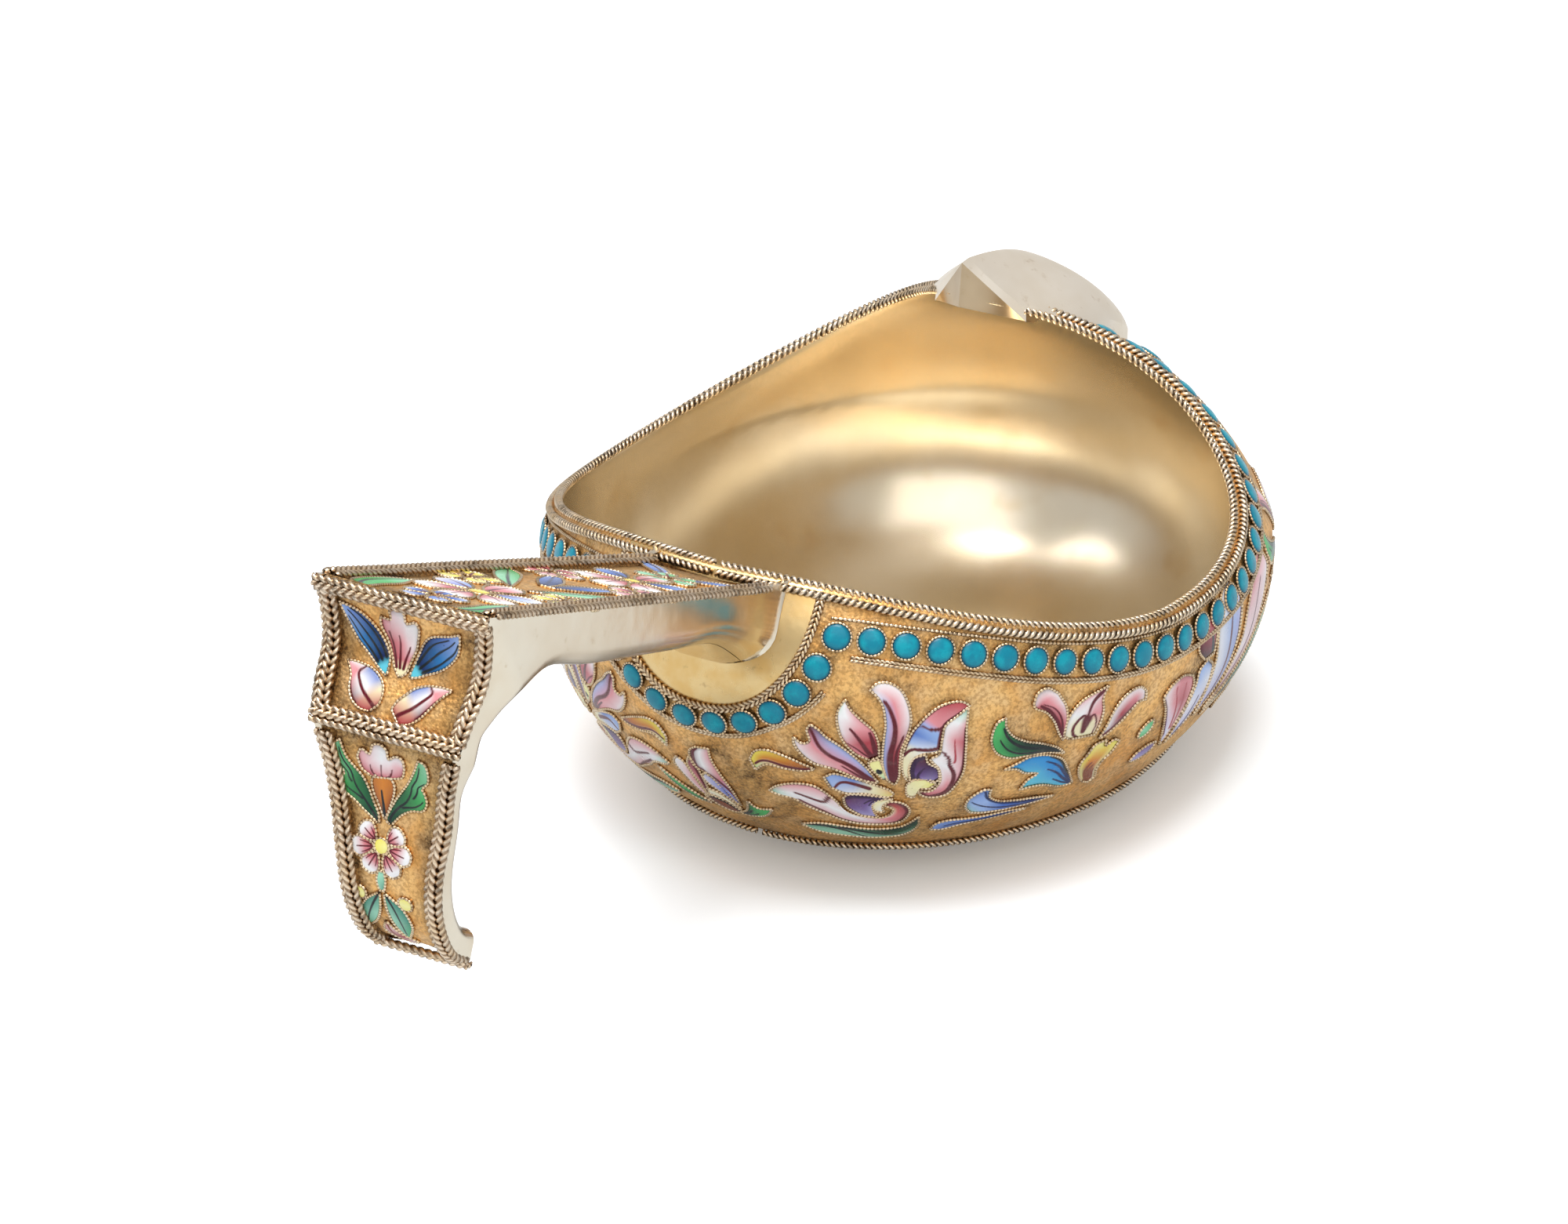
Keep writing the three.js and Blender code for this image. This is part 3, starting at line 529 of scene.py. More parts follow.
# ---------------------------------------------------------------- turquoise studs
# Each stud is a small round cell of fine twisted wire, filled with opaque turquoise glass that is
# fired and left a little domed. Painted shade darkens the glass towards its edge against the wire.
def turquoise_glass():
    look = Finish("turquoise glass")
    edge = look.tone_share()
    cloud = look.noise(1.2 * MM, 3, 0.6)
    shade = look.mixed(cloud.span(0.35, 0.7), (0.0, 0.20, 0.29), (0.0, 0.30, 0.38))
    # Painted shade darkens the glass towards its edge against the wire.
    shade = look.mixed(edge, shade, (0.0, 0.03, 0.08))
    pits = look.cells(0.9 * MM).span(0.1, 0.03) * look.noise(2.7 * MM, 1).span(0.55, 0.62)
    shade = look.mixed(pits * 0.9, shade, (0.0, 0.02, 0.05))
    relief = look.bump(look.noise(0.5 * MM, 2), 0.03 * MM, 0.5)
    return look.surface(shade, 0.2 + cloud * 0.12, relief, metallic=0.0, specular=0.35)


GLASS_RADIUS, GLASS_SIDES = 1.25 * MM, 20
COLLAR_RADIUS, COLLAR_WIRE, COLLAR_HEIGHT = 1.3 * MM, 0.135 * MM, 0.32 * MM
# Each ring: its share of the radius, its height in millimetres, and its share of painted shade at the wire.
GLASS_RINGS = [(0.0, 0.62, 0.0), (0.45, 0.6, 0.0), (0.75, 0.53, 0.12), (0.93, 0.42, 0.7), (1.02, 0.2, 1.0)]


def on_circle(turn, radius, height):
    return Vector((math.cos(turn) * radius, math.sin(turn) * radius, height))


def glass_corner(i, j):
    share, height, edge = GLASS_RINGS[j]
    return on_circle(2 * math.pi * i / GLASS_SIDES, share * GLASS_RADIUS, height * MM), (edge, 0, 0, 1)


glass = rolled("stud glass", GLASS_SIDES, len(GLASS_RINGS) - 1, glass_corner, turn_out=False)
glass.data.materials.append(turquoise_glass())
collar = beaded("stud collar", lambda share: on_circle(2 * math.pi * share, COLLAR_RADIUS, COLLAR_HEIGHT),
                COLLAR_WIRE, 0.34 * MM, FINE_WIRE, sides=5, closed=True)
pattern_stud = joined("pattern_stud", [glass, collar])


def stud_row(name, node, places, pitch=3.14 * MM):
    """Copies of the pattern stud along a run of places, soldered on square to the wall."""
    fine = [places(k / 200) for k in range(201)]
    spots = [wall(*place) for place in fine]
    lengths = np.cumsum([0] + [(b - a).length for a, b in zip(spots, spots[1:])])
    count = round(lengths[-1] / pitch)
    shares = np.interp(np.linspace(0, lengths[-1], count + 1), lengths, np.linspace(0, 1, 201))
    studs = []
    for k, share in enumerate(shares):
        place = places(float(share))
        stud = pattern_stud.copy()
        stud.data = pattern_stud.data.copy()
        bpy.context.collection.objects.link(stud)
        tilt = wall_out(*place).to_track_quat("Z", "X").to_matrix().to_4x4()
        stretch = Matrix.Diagonal((1 + 0.03 * math.sin(7 * k), 1 + 0.03 * math.cos(5 * k), 1, 1))
        turn = Matrix.Rotation(0.7 * k, 4, "Z")
        stud.data.transform(Matrix.Translation(on_wall(*place)) @ tilt @ turn @ stretch)
        studs.append(stud)
    root_piece(joined(name, studs), node)


def stud_place(lon):
    return below_rim(lon, stud_drop + sunk_by_handle(lon))


for side, sign in (("near", 1), ("far", -1)):
    stud_row(f"studs_{side}", f"stud_row_{side}",
             lambda share: stud_place(sign * (STUD_SPAN[0] + (STUD_SPAN[1] - STUD_SPAN[0]) * share)))
stud_row("lunette_studs", "stud_arc_lunette",
         lambda share: lunette_arc(stud_off, arc_turn(0.11, share)), 3.02 * MM)
stud_row("cap_studs", "stud_arc_prow", lambda share: cap_arc(cap_gap + stud_off, arc_turn(0.17, share)))
bpy.data.objects.remove(pattern_stud)


# ---------------------------------------------------------------- the prow cap
# The plain cap is a hollow cushion of silver, gilded pale and polished, soldered on the prow. Its
# back is cut by two flat facets that meet in a ridge.
def pale_silver(name="pale polished silver", low=(0.76, 0.64, 0.48), high=(0.83, 0.74, 0.59), polish=0.13):
    look = Finish(name)
    cloud = look.noise(8 * MM, 3, 0.55)
    worn = look.noise(1.4 * MM, 4, 0.65)
    shade = look.mixed(cloud.span(0.3, 0.7), low, high)
    shade = look.mixed(worn.span(0.6, 0.78) * 0.35, shade, (0.45, 0.30, 0.15))
    dents = look.bump(look.noise(4 * MM, 2), 0.12 * MM, 0.4)
    fine = look.bump(look.noise(0.25 * MM, 2), 0.01 * MM, 0.3, dents)
    return look.surface(shade, polish + cloud * 0.08 + worn * 0.05, fine)


CAP_ALONG, CAP_ACROSS = 36, 40
CAP_THICKNESS, CAP_LEAN = 4.2 * MM, 2.2 * MM
CAP_RIDGE_TOP, CAP_RIDGE_FOOT = Vector((15.7, 0, 47.1)) * MM, Vector((15.1, 0, 42.8)) * MM
BACK_SPREAD = 14.5
# Each section: its spread and the latitude of its sides and middle in degrees, then its thickness,
# how far it leans over the back, both as shares, and the power of its curve.
CAP_SECTIONS = [
    (13.6, 54.6, 59.4, 0.9, 0.72, 1.0), (16.9, 51.2, 54, 1.0, 0.3, 1.15), (19.8, 44.3, 47, 1.05, 0.0, 1.6),
    (19.1, 36.8, 40.5, 1.0, 0.0, 2.1), (15.1, 30.2, 34, 0.8, 0.0, 2.4), (8.4, 26, 28.5, 0.5, 0.0, 2.3),
    (2.5, 24.9, 25.3, 0.2, 0.0, 2.0)]


def smooth_row(rows, share):
    """A row between the given rows, by a curve through them."""
    at = share * (len(rows) - 1)
    k = min(int(at), len(rows) - 2)
    t = at - k
    p = [np.array(rows[min(max(n, 0), len(rows) - 1)], float) for n in (k - 1, k, k + 1, k + 2)]
    return 0.5 * (2 * p[1] + (p[2] - p[0]) * t + (2 * p[0] - 5 * p[1] + 4 * p[2] - p[3]) * t * t
                  + (3 * p[1] - p[0] - 3 * p[2] + p[3]) * t ** 3)


def cap_back(i, j):
    """The two flat facets: from the ridge to where the cap's back meets the lip on each side."""
    across = 2 * i / CAP_ACROSS - 1
    lon = 180 + BACK_SPREAD * across
    if j == 0:
        return on_wall(lon, rim_latitude(lon) - 2.2, -0.7 * MM)
    end_latitude = rim_latitude(180 - BACK_SPREAD) + 0.6 - 1.6 * (j == 1)
    end = on_wall(180 + BACK_SPREAD * math.copysign(1, across), end_latitude, -1.3 * MM)
    return (CAP_RIDGE_FOOT if j == 1 else CAP_RIDGE_TOP).lerp(end, abs(across))


def cap_corner(i, j):
    """The cushion, from the facets' upper edge forward to its foot on the wall."""
    if j == 2:
        return cap_back(i, j)
    share = (j - 2) / (CAP_ALONG - 2)
    spread, side, middle, thick, over, power = smooth_row(CAP_SECTIONS, min(share, 1))
    across = 2 * i / CAP_ACROSS - 1
    place = (180 + spread * across, side + (middle - side) * (1 - across * across))
    base = on_wall(*place, -0.1 * MM)
    if j == CAP_ALONG:
        return base
    foot = on_wall(180, middle, 0.0)
    ridge = on_wall(180, middle, 0.3 * MM + thick * CAP_THICKNESS) - Vector((over * CAP_LEAN, 0, 0))
    lift = max(0.0, 1 - abs(across) ** power) ** (1 / power)
    return base + (ridge - foot) * lift


cushion = rolled("cap", CAP_ACROSS, CAP_ALONG - 2, lambda i, j: cap_corner(i, j + 2))
cushion.data.materials.append(
    pale_silver("pale gilding of the cap", (0.89, 0.79, 0.65), (0.94, 0.86, 0.75), 0.42))
facets = rolled("cap back", CAP_ACROSS, 2, cap_back)
# The facets are a darker copy of the cap's gilding: painted shade.
facets.data.materials.append(
    pale_silver("gilding of the cap's back with painted shade", (0.50, 0.37, 0.23), (0.64, 0.50, 0.33), 0.3))
cap = joined("cap", [cushion, facets])
bpy.ops.object.shade_smooth_by_angle(angle=math.radians(17))
root_piece(cap, "prow_cap")


# ---------------------------------------------------------------- the handle
# The handle is a hollow box of sheet silver: two plain polished sides and a plain underside, bent
# and soldered, and three plates on its face with a matt gilt ground. Its root is soldered to the
# wall over the plain half disc, and its end curls down into a hook.
HANDLE_LENGTH, HANDLE_HEIGHT, END_HALF_WIDTH = 53.4 * MM, 33.6 * MM, 9.1 * MM
SIDE_INSET, SIDE_SHEET = 0.9 * MM, 0.6 * MM
ROOT_REACH, TIP_HEIGHT = 30.94 * MM, 19.66 * MM
# Each station: how far out and how high its face's middle and its back's middle lie, as shares of the
# length and the height, and its width as a share of the end's.
ARM = [(0, 0.431, 0.012, 0.203, 0.764), (0.179, 0.539, 0.16, 0.378, 0.809),
       (0.302, 0.613, 0.298, 0.464, 0.837), (0.587, 0.785, 0.591, 0.631, 0.905),
       (0.768, 0.893, 0.74, 0.725, 0.947), (0.945, 1, 0.863, 0.72, 1)]
BLOCK = [(0.945, 1, 0.863, 0.72, 1), (0.934, 0.9, 0.894, 0.7, 0.96), (0.939, 0.805, 0.918, 0.679, 0.93),
         (0.977, 0.71, 0.939, 0.649, 0.89), (1, 0.637, 0.951, 0.575, 0.85)]
HOOK = [(1, 0.637, 0.951, 0.575, 0.85), (0.993, 0.509, 0.96, 0.488, 0.735),
        (0.99, 0.399, 0.958, 0.387, 0.68), (0.998, 0.265, 0.958, 0.256, 0.605),
        (0.994, 0.167, 0.952, 0.173, 0.575), (0.975, 0.077, 0.937, 0.098, 0.56),
        (0.945, 0.005, 0.915, 0.045, 0.55), (0.9, -0.045, 0.885, 0.012, 0.545)]
ARM_ROUNDING = [(5.2, 4.0), (2.6, 2.4), (1.6, 1.5), (1.2, 1.2), (1.1, 1.1), (1.0, 1.0)]


def drawn_through(rows, share):
    """The row at this share of a smooth curve through the given rows."""
    rows = [np.array(row, float) for row in rows]
    at = max(0.0, min(1.0, share)) * (len(rows) - 1)
    k = min(int(at), len(rows) - 2)
    t = at - k
    before = rows[k - 1] if k else 2 * rows[0] - rows[1]
    after = rows[k + 2] if k + 2 < len(rows) else 2 * rows[-1] - rows[-2]
    one, two = rows[k], rows[k + 1]
    a, b, c = (max(float(np.linalg.norm(end - start)), 1e-9) ** 0.5
               for start, end in ((before, one), (one, two), (two, after)))
    first = ((one - before) / a - (two - before) / (a + b) + (two - one) / b) * b
    second = ((two - one) / b - (after - one) / (b + c) + (after - two) / c) * b
    return (one + first * t + (3 * (two - one) - 2 * first - second) * t * t
            + (2 * (one - two) + first + second) * t ** 3)


def handle_place(out, rise):
    return Vector((-ROOT_REACH - out * HANDLE_LENGTH, 0, TIP_HEIGHT + rise * HANDLE_HEIGHT))


def station(rows, share):
    """The face's place, its directions along and out, the back's place and the half width."""
    def face_at(t):
        row = drawn_through([(r[0], r[1], r[4]) for r in rows], t)
        return handle_place(row[0], row[1]), END_HALF_WIDTH * float(row[2])

    def back_at(t):
        row = drawn_through([(r[2], r[3], r[4]) for r in rows], t)
        return handle_place(row[0], row[1])

    at, half = face_at(share)
    along = (face_at(min(1, share + 0.02))[0] - face_at(max(0, share - 0.02))[0]).normalized()
    return at, along, Vector((0, 1, 0)).cross(along), back_at(share), half


def shifted(point, y):
    return Vector((point.x, y, point.z))


def wall_reach(y, z):
    """How far the bowl's wall reaches towards the handle at this y and height."""
    z = max(BELLY_HEIGHT, min(z, 34.3 * MM))
    lat = math.degrees(math.asin(((z - BELLY_HEIGHT) / CROWN_HEIGHT) ** (CROWN_POWER / 2)))
    low, high = 0.0, 60.0
    for _ in range(24):
        middle = (low + high) / 2
        if -wall(middle, lat).y < abs(y):
            low = middle
        else:
            high = middle
    return wall(low, lat).x


stations = [("arm", k / 24) for k in range(25)]
stations += [("block", k / 20) for k in range(1, 21)] + [("hook", k / 28) for k in range(1, 29)]
SPANS = {"arm": ARM, "block": BLOCK, "hook": HOOK}


def side_rounding(span, share):
    """How wide and how tall the rounded corner between the side and the underside is."""
    if span == "arm":
        rounding = drawn_through(ARM_ROUNDING, share)
        return float(rounding[0]) * MM, float(rounding[1]) * MM
    if span == "block":
        return (1.0 - 0.3 * share) * MM, (1.0 - 0.3 * share) * MM
    return (0.7 - 0.15 * share) * MM, (0.7 - 0.15 * share) * MM


def body_outline(span, share, grow=0.0):
    """Half of the handle's section, from the face's edge down the side and round to the middle."""
    at, along, out, back, half = station(SPANS[span], share)
    edge = half - SIDE_INSET + grow
    wide, tall = side_rounding(span, share)
    rise = (at - back).normalized()
    depth = (at - back).length + grow
    tall = min(tall, 0.6 * depth)
    line = [(edge, (depth - tall) * k / 6) for k in range(7)]
    for k in range(1, 11):
        turn = math.pi / 2 * k / 10
        line.append((edge - wide * (1 - math.cos(turn)), depth - tall + tall * math.sin(turn)))
    line += [((edge - wide) * (1 - k / 4), depth) for k in range(1, 5)]
    return [(at - rise * down, y) for y, down in line]


def body_ring(index):
    """The outline at a station, or for the first ones, drawn out to the bowl's wall."""
    if index > 1:
        return body_outline(*stations[index - 1])
    ring = []
    for point, y in body_outline("arm", 0.0, (0.55 if index == 0 else 0.15) * MM):
        reach = wall_reach(y, point.z) + (0.35 if index == 0 else -0.35) * MM
        ring.append((Vector((max(reach, point.x) if index else reach, 0, point.z)), y))
    return ring


rings = [body_ring(k) for k in range(len(stations) + 1)]


def sheet_of_rings(name, lines, thickness):
    """A closed sheet of silver: the outer face through the given lines, and an inner face behind it."""
    across, along = len(lines[0]) - 1, len(lines) - 1

    def corner(i, j):
        i %= 2 * across + 2
        outer = i <= across
        k = i if outer else 2 * across + 1 - i
        spot = lines[j][k]
        if outer:
            return spot
        east = lines[j][min(k + 1, across)] - lines[j][max(k - 1, 0)]
        north = lines[min(j + 1, along)][k] - lines[max(j - 1, 0)][k]
        return spot - east.cross(north).normalized() * thickness

    sheet = rolled(name, 2 * across + 2, along, corner, merge=0.0005 * MM)
    bpy.ops.object.mode_set(mode="EDIT")
    bpy.ops.mesh.select_all(action="SELECT")
    bpy.ops.mesh.remove_doubles(threshold=0.0005 * MM)
    bpy.ops.mesh.select_all(action="DESELECT")
    bpy.ops.mesh.select_non_manifold()
    bpy.ops.mesh.fill_holes(sides=0)
    bpy.ops.mesh.select_all(action="SELECT")
    bpy.ops.mesh.normals_make_consistent(inside=False)
    bpy.ops.object.mode_set(mode="OBJECT")
    bpy.ops.object.shade_smooth_by_angle(angle=math.radians(35))
    return sheet


SIDE_END = 12
PLAIN_SILVER = pale_silver()
for side, sign in (("near", -1), ("far", 1)):
    lines = [[shifted(point, sign * y) for point, y in ring[:SIDE_END + 1]] for ring in rings]
    flank = sheet_of_rings(f"handle_side_{side}", lines, sign * -SIDE_SHEET)
    flank.data.materials.append(PLAIN_SILVER)
    root_piece(flank, f"handle_side_{side}")
lines = [[shifted(point, -y) for point, y in ring[SIDE_END:]]
         + [shifted(point, y) for point, y in ring[-2:SIDE_END - 1:-1]] for ring in rings]
under = sheet_of_rings("handle_underside", lines, SIDE_SHEET)
under.data.materials.append(PLAIN_SILVER)
root_piece(under, "handle_underside")

GROUND = stippled_gilt("matt gilt ground of the handle", 0.4)
FRAME_WIDTH, RECESS, FOLD = 1.75 * MM, 0.3 * MM, 0.7 * MM


def face_plate(name, rows, start, end, steps):
    """A plate with a sunk ground between raised borders, its edges folded down over the sides."""
    shares = [start + (end - start) * k / steps for k in range(steps + 1)]

    def corner(i, j):
        k = max(1, min(j, steps + 1)) - 1
        at, along, out, back, half = station(rows, shares[k])
        edge = half - SIDE_INSET - 0.05 * MM
        inner = half - FRAME_WIDTH - 0.1 * MM
        line = [(-edge, -FOLD), (-edge, 0), (-inner - 0.1 * MM, 0), (-inner, -RECESS)]
        line += [(inner * s / 4, -RECESS) for s in (-3.5, -3, -2, -1, 0, 1, 2, 3, 3.5)]
        line += [(inner, -RECESS), (inner + 0.1 * MM, 0), (edge, 0), (edge, -FOLD), (-edge, -FOLD)]
        y, lift = line[i]
        spot = shifted(at + out * lift, y)
        if j in (0, steps + 2):
            spot = shifted(at - out * 0.35 * MM, 0)
        # The tone darkens the ground towards the raised borders and the plate's ends: patina there, and
        # painted shade in the recess beside them.
        grime_and_shade = (max(0.0, 1 - 3.2 * (1 - abs(y) / inner)) + max(0.0, 1 - k / 2.5)
                 + max(0.0, 1 - (steps - k) / 3))
        return spot, (min(grime_and_shade, 1.0), 0, 0, 1)

    plate = rolled(name, 17, steps + 2, corner)
    bpy.ops.object.shade_smooth_by_angle(angle=math.radians(30))
    plate.data.materials.append(GROUND)
    root_piece(plate, name)


face_plate("handle_top_plate", ARM, 0.0, 0.965, 30)
face_plate("handle_block_plate", BLOCK, 0.03, 0.97, 24)
face_plate("handle_hook_plate", HOOK, 0.02, 0.98, 30)

HANDLE_ROPE, HANDLE_ROPE_PITCH = 0.38 * MM, 0.78 * MM
# Its valleys take a mid-brown painted shade.
EDGE_ROPE = rope_finish("rubbed twisted wire", (0.92, 0.75, 0.57), (0.05, 0.028, 0.014), (0.33, 0.2, 0.11))


def rope_of_strands(name, strands):
    """Ropes laid side by side; each is its path and the way it is twisted."""
    ropes = [twisted("strand", place, HANDLE_ROPE, HANDLE_ROPE_PITCH, EDGE_ROPE, hand=hand)
             for place, hand in strands]
    root_piece(joined(name, ropes), name)


def edge_rope(name, rows, start, end, sign):
    def strand(inset, rise):
        def place(share):
            at, along, out, back, half = station(rows, start + (end - start) * share)
            return shifted(at + out * rise * MM, sign * (half - inset * MM))
        return place

    rope_of_strands(name, ((strand(0.36, 0.1), 1), (strand(0.95, 0.3), -1), (strand(1.52, 0.05), 1)))


def cross_rope(name, rows, share, wide=0.55 * MM, lift=0.35 * MM):
    at, along, out, back, half = station(rows, share)

    def strand(shift, rise):
        return lambda t: shifted(at + out * (lift + rise) + along * shift, (half - 0.1 * MM) * (2 * t - 1))

    rope_of_strands(name, ((strand(-wide, 0), 1), (strand(0, 0.2 * MM), -1), (strand(wide, 0), 1)))


for side, sign in (("near", -1), ("far", 1)):
    edge_rope(f"rope_top_{side}", ARM, 0.0, 0.975, sign)
    edge_rope(f"rope_block_{side}", BLOCK, 0.06, 0.94, sign)
    edge_rope(f"rope_hook_{side}", HOOK, 0.03, 0.98, sign)
cross_rope("rope_top_edge", BLOCK, 0.05)
cross_rope("rope_band", BLOCK, 0.95, 0.62 * MM)
cross_rope("rope_hook_tip", HOOK, 0.98)


# ---------------------------------------------------------------- flower enamel
# Each petal and leaf is a cell of fine twisted wire on the matt ground, filled with soft enamel that
# shades from colour to colour, fired, painted with dark veins and fired once more.
# The sprays are laid one by one from these cells, as traditional flowers and leaves.
PALETTE = {
    "white": (238, 236, 236), "pink": (221, 141, 147), "rose": (168, 62, 71), "plum": (92, 14, 30),
    "red": (192, 72, 70), "navy": (18, 36, 84), "blue": (66, 104, 184), "sky": (150, 178, 228),
    "lavender": (176, 170, 216), "violet": (112, 84, 142), "dusk": (50, 20, 60), "green": (70, 172, 92),
    "pine": (16, 76, 46), "ink": (12, 24, 26), "mint": (156, 212, 182), "teal": (60, 130, 112),
    "yellow": (234, 222, 92), "lemon": (240, 234, 158), "cream": (234, 224, 182), "orange": (206, 124, 42),
    "brown": (126, 58, 22), "cyan": (94, 192, 212), "azure": (36, 132, 202)}
CELL_WIRE, CELL_WIRE_PITCH = 0.165 * MM, 0.36 * MM
EDGE_SUNK, EDGE_ROUND, DOME, EDGE_PAINTED_SHADE = 0.08, 0.24, 0.10, 0.62


def flower_enamel():
    look = Finish("shaded flower enamel")
    cloud = look.noise(1.4 * MM, 3, 0.6)
    shade = look.mixed(cloud.span(0.45, 0.8) * 0.14, look.tone(), (0.30, 0.26, 0.22))
    pits = look.cells(1.3 * MM).span(0.07, 0.02) * look.noise(3 * MM, 1).span(0.52, 0.6)
    shade = look.mixed(pits * 0.7, shade, (0.03, 0.03, 0.03))
    relief = look.bump(look.noise(0.7 * MM, 2), 0.03 * MM, 0.45)
    return look.surface(shade, 0.2 + cloud * 0.12, relief, metallic=0.0, specular=0.35)


ENAMEL = flower_enamel()
wire_spots = []


def even_curve(points, count):
    """Evenly spaced points on a smooth curve through the given ones."""
    if len(points) == 1:
        return np.repeat(np.array(points, float), count + 1, axis=0)
    steps = 10 * (len(points) - 1)
    fine = np.array([drawn_through(points, k / steps) for k in range(steps + 1)])
    lengths = np.concatenate([[0], np.cumsum(np.linalg.norm(np.diff(fine, axis=0), axis=1))])
    wanted = np.linspace(0, lengths[-1], count + 1)
    return np.stack([np.interp(wanted, lengths, fine[:, c]) for c in (0, 1)], axis=1)


def cell_sheet(first, end, second, across, along):
    """The cell's floor, spanned between its two edges and drawn out to its end."""
    left = even_curve([*first, end[0]], along)
    right = even_curve([*second, end[-1]], along)
    lobes = even_curve(end, across)
    s = np.linspace(0, 1, across + 1)[None, :, None]
    t = np.linspace(0, 1, along + 1)[:, None, None]
    chord = left[-1] * (1 - s[0]) + right[-1] * s[0]
    return left[:, None] * (1 - s) + right[:, None] * s + (lobes - chord)[None] * t ** 4


def cell_colours(tones, across, along):
    """Colours over the cell: rows from base to end, each from the first edge to the second."""
    s = np.linspace(0, 1, across + 1)
    t = np.linspace(0, 1, along + 1)
    places, rows = [], []
    for row in tones.split("|"):
        place, *names = row.split()
        colours = (np.array([PALETTE[name] for name in names]) / 255) ** 2.2
        stops = np.linspace(0, 1, len(names)) if len(names) > 1 else [0.5]
        places.append(float(place))
        rows.append(np.stack([np.interp(s, stops, colours[:, c]) for c in range(3)], axis=1))
    rows = np.array(rows)
    return np.array([[[np.interp(at, places, rows[:, i, c]) for c in range(3)]
                      for i in range(across + 1)] for at in t])


def paint_vein(colours, sheet, units, name, width, *points):
    """A tapering dark line, drawn with the brush through the given shares across and along."""
    across, along = sheet.shape[1] - 1, sheet.shape[0] - 1
    line = []
    for s, t in (drawn_through(points, k / 16) for k in range(17)):
        x, y = min(max(s, 0), 1) * across, min(max(t, 0), 1) * along
        i, j = min(int(x), across - 1), min(int(y), along - 1)
        x, y = x - i, y - j
        low = sheet[j, i] * (1 - x) + sheet[j, i + 1] * x
        high = sheet[j + 1, i] * (1 - x) + sheet[j + 1, i + 1] * x
        line.append((low * (1 - y) + high * y) * units)
    spots = sheet * units
    cover = np.zeros(sheet.shape[:2])
    for k in range(16):
        run = line[k + 1] - line[k]
        share = np.clip(((spots - line[k]) @ run) / max(run @ run, 1e-9), 0, 1)
        away = np.linalg.norm(spots - line[k] - share[..., None] * run, axis=2)
        half = width * (1 - 0.5 * (k + share) / 16)
        cover = np.maximum(cover, np.clip((1.2 - away / half) / 0.5, 0, 1))
    ink = (np.array(PALETTE[name]) / 255) ** 2.2
    return colours * (1 - cover[..., None]) + ink * cover[..., None]


def cell(lay, units, grid, first, end, second, tones, *veins):
    """One cell, its pillow of enamel and its wire: two edges from its base, its end, its colours."""
    across, along = grid
    sheet = cell_sheet(first, end, second, across, along)
    colours = cell_colours(tones, across, along)
    for vein in veins:
        colours = paint_vein(colours, sheet, np.array(units), *vein)
    s = np.linspace(0, 1, across + 1)[None, :]
    t = np.linspace(0, 1, along + 1)[:, None]
    near = np.minimum(np.minimum(s, 1 - s) / 0.16, np.minimum(t, 1 - t) / 0.1)
    round_edge = np.sqrt(np.clip(1 - (1 - np.clip(near, 0, 1)) ** 2, 0, 1))
    rise = -EDGE_SUNK + round_edge * EDGE_ROUND + DOME * np.sin(math.pi * s) * np.sin(math.pi * t)
    # Painted shade darkens the enamel towards the wire round the cell.
    colours = colours * (EDGE_PAINTED_SHADE + (1 - EDGE_PAINTED_SHADE) * np.clip(near * 1.4, 0, 1))[..., None]

    def corner(i, j):
        return lay(*sheet[j, i], float(rise[j, i]) * MM), (*colours[j, i], 1)

    patch = rolled("patch", across, along, corner, merge=0.001 * MM, turn_out=False)
    patch.data.materials.append(ENAMEL)
    middle = sheet[along // 2, across // 2]
    out = lay(*middle, MM) - lay(*middle, 0.0)
    if sum((face.normal.dot(out) for face in patch.data.polygons), 0.0) < 0:
        patch.data.flip_normals()
    loop = np.concatenate([sheet[:, 0], sheet[-1, 1:], sheet[-2::-1, -1]])
    if np.linalg.norm(loop[-1] - loop[0]) > 0.2:
        loop = np.concatenate([loop, loop[:1]])
    lengths = np.concatenate([[0], np.cumsum(np.linalg.norm(np.diff(loop * units, axis=0), axis=1))])

    def border(share):
        at = share * lengths[-1]
        return lay(np.interp(at, lengths, loop[:, 0]), np.interp(at, lengths, loop[:, 1]), 0.1 * MM)

    wire_spots.extend(border(k / 60) for k in range(61))
    return [patch, beaded("border", border, CELL_WIRE, CELL_WIRE_PITCH, PALE_WIRE)]


def spray(name, node, lay, units, cells, grid=(36, 54)):
    """All cells of one spray; lay puts a place on the ground, units are its millimetres per step."""
    whole = joined(name, [part for each in cells for part in cell(lay, units, grid, *each)])
    root_piece(whole, node)
    return whole


def mirrored(whole, name):
    """The same spray on the far side of the bowl."""
    bpy.ops.object.select_all(action="DESELECT")
    other = whole.copy()
    other.data = whole.data.copy()
    other.name = other.data.name = name
    bpy.context.collection.objects.link(other)
    other.data.transform(Matrix.Diagonal((1, -1, 1, 1)))
    other.data.flip_normals()
    root_piece(other, name)


WALL_UNITS = (0.58, 0.42)

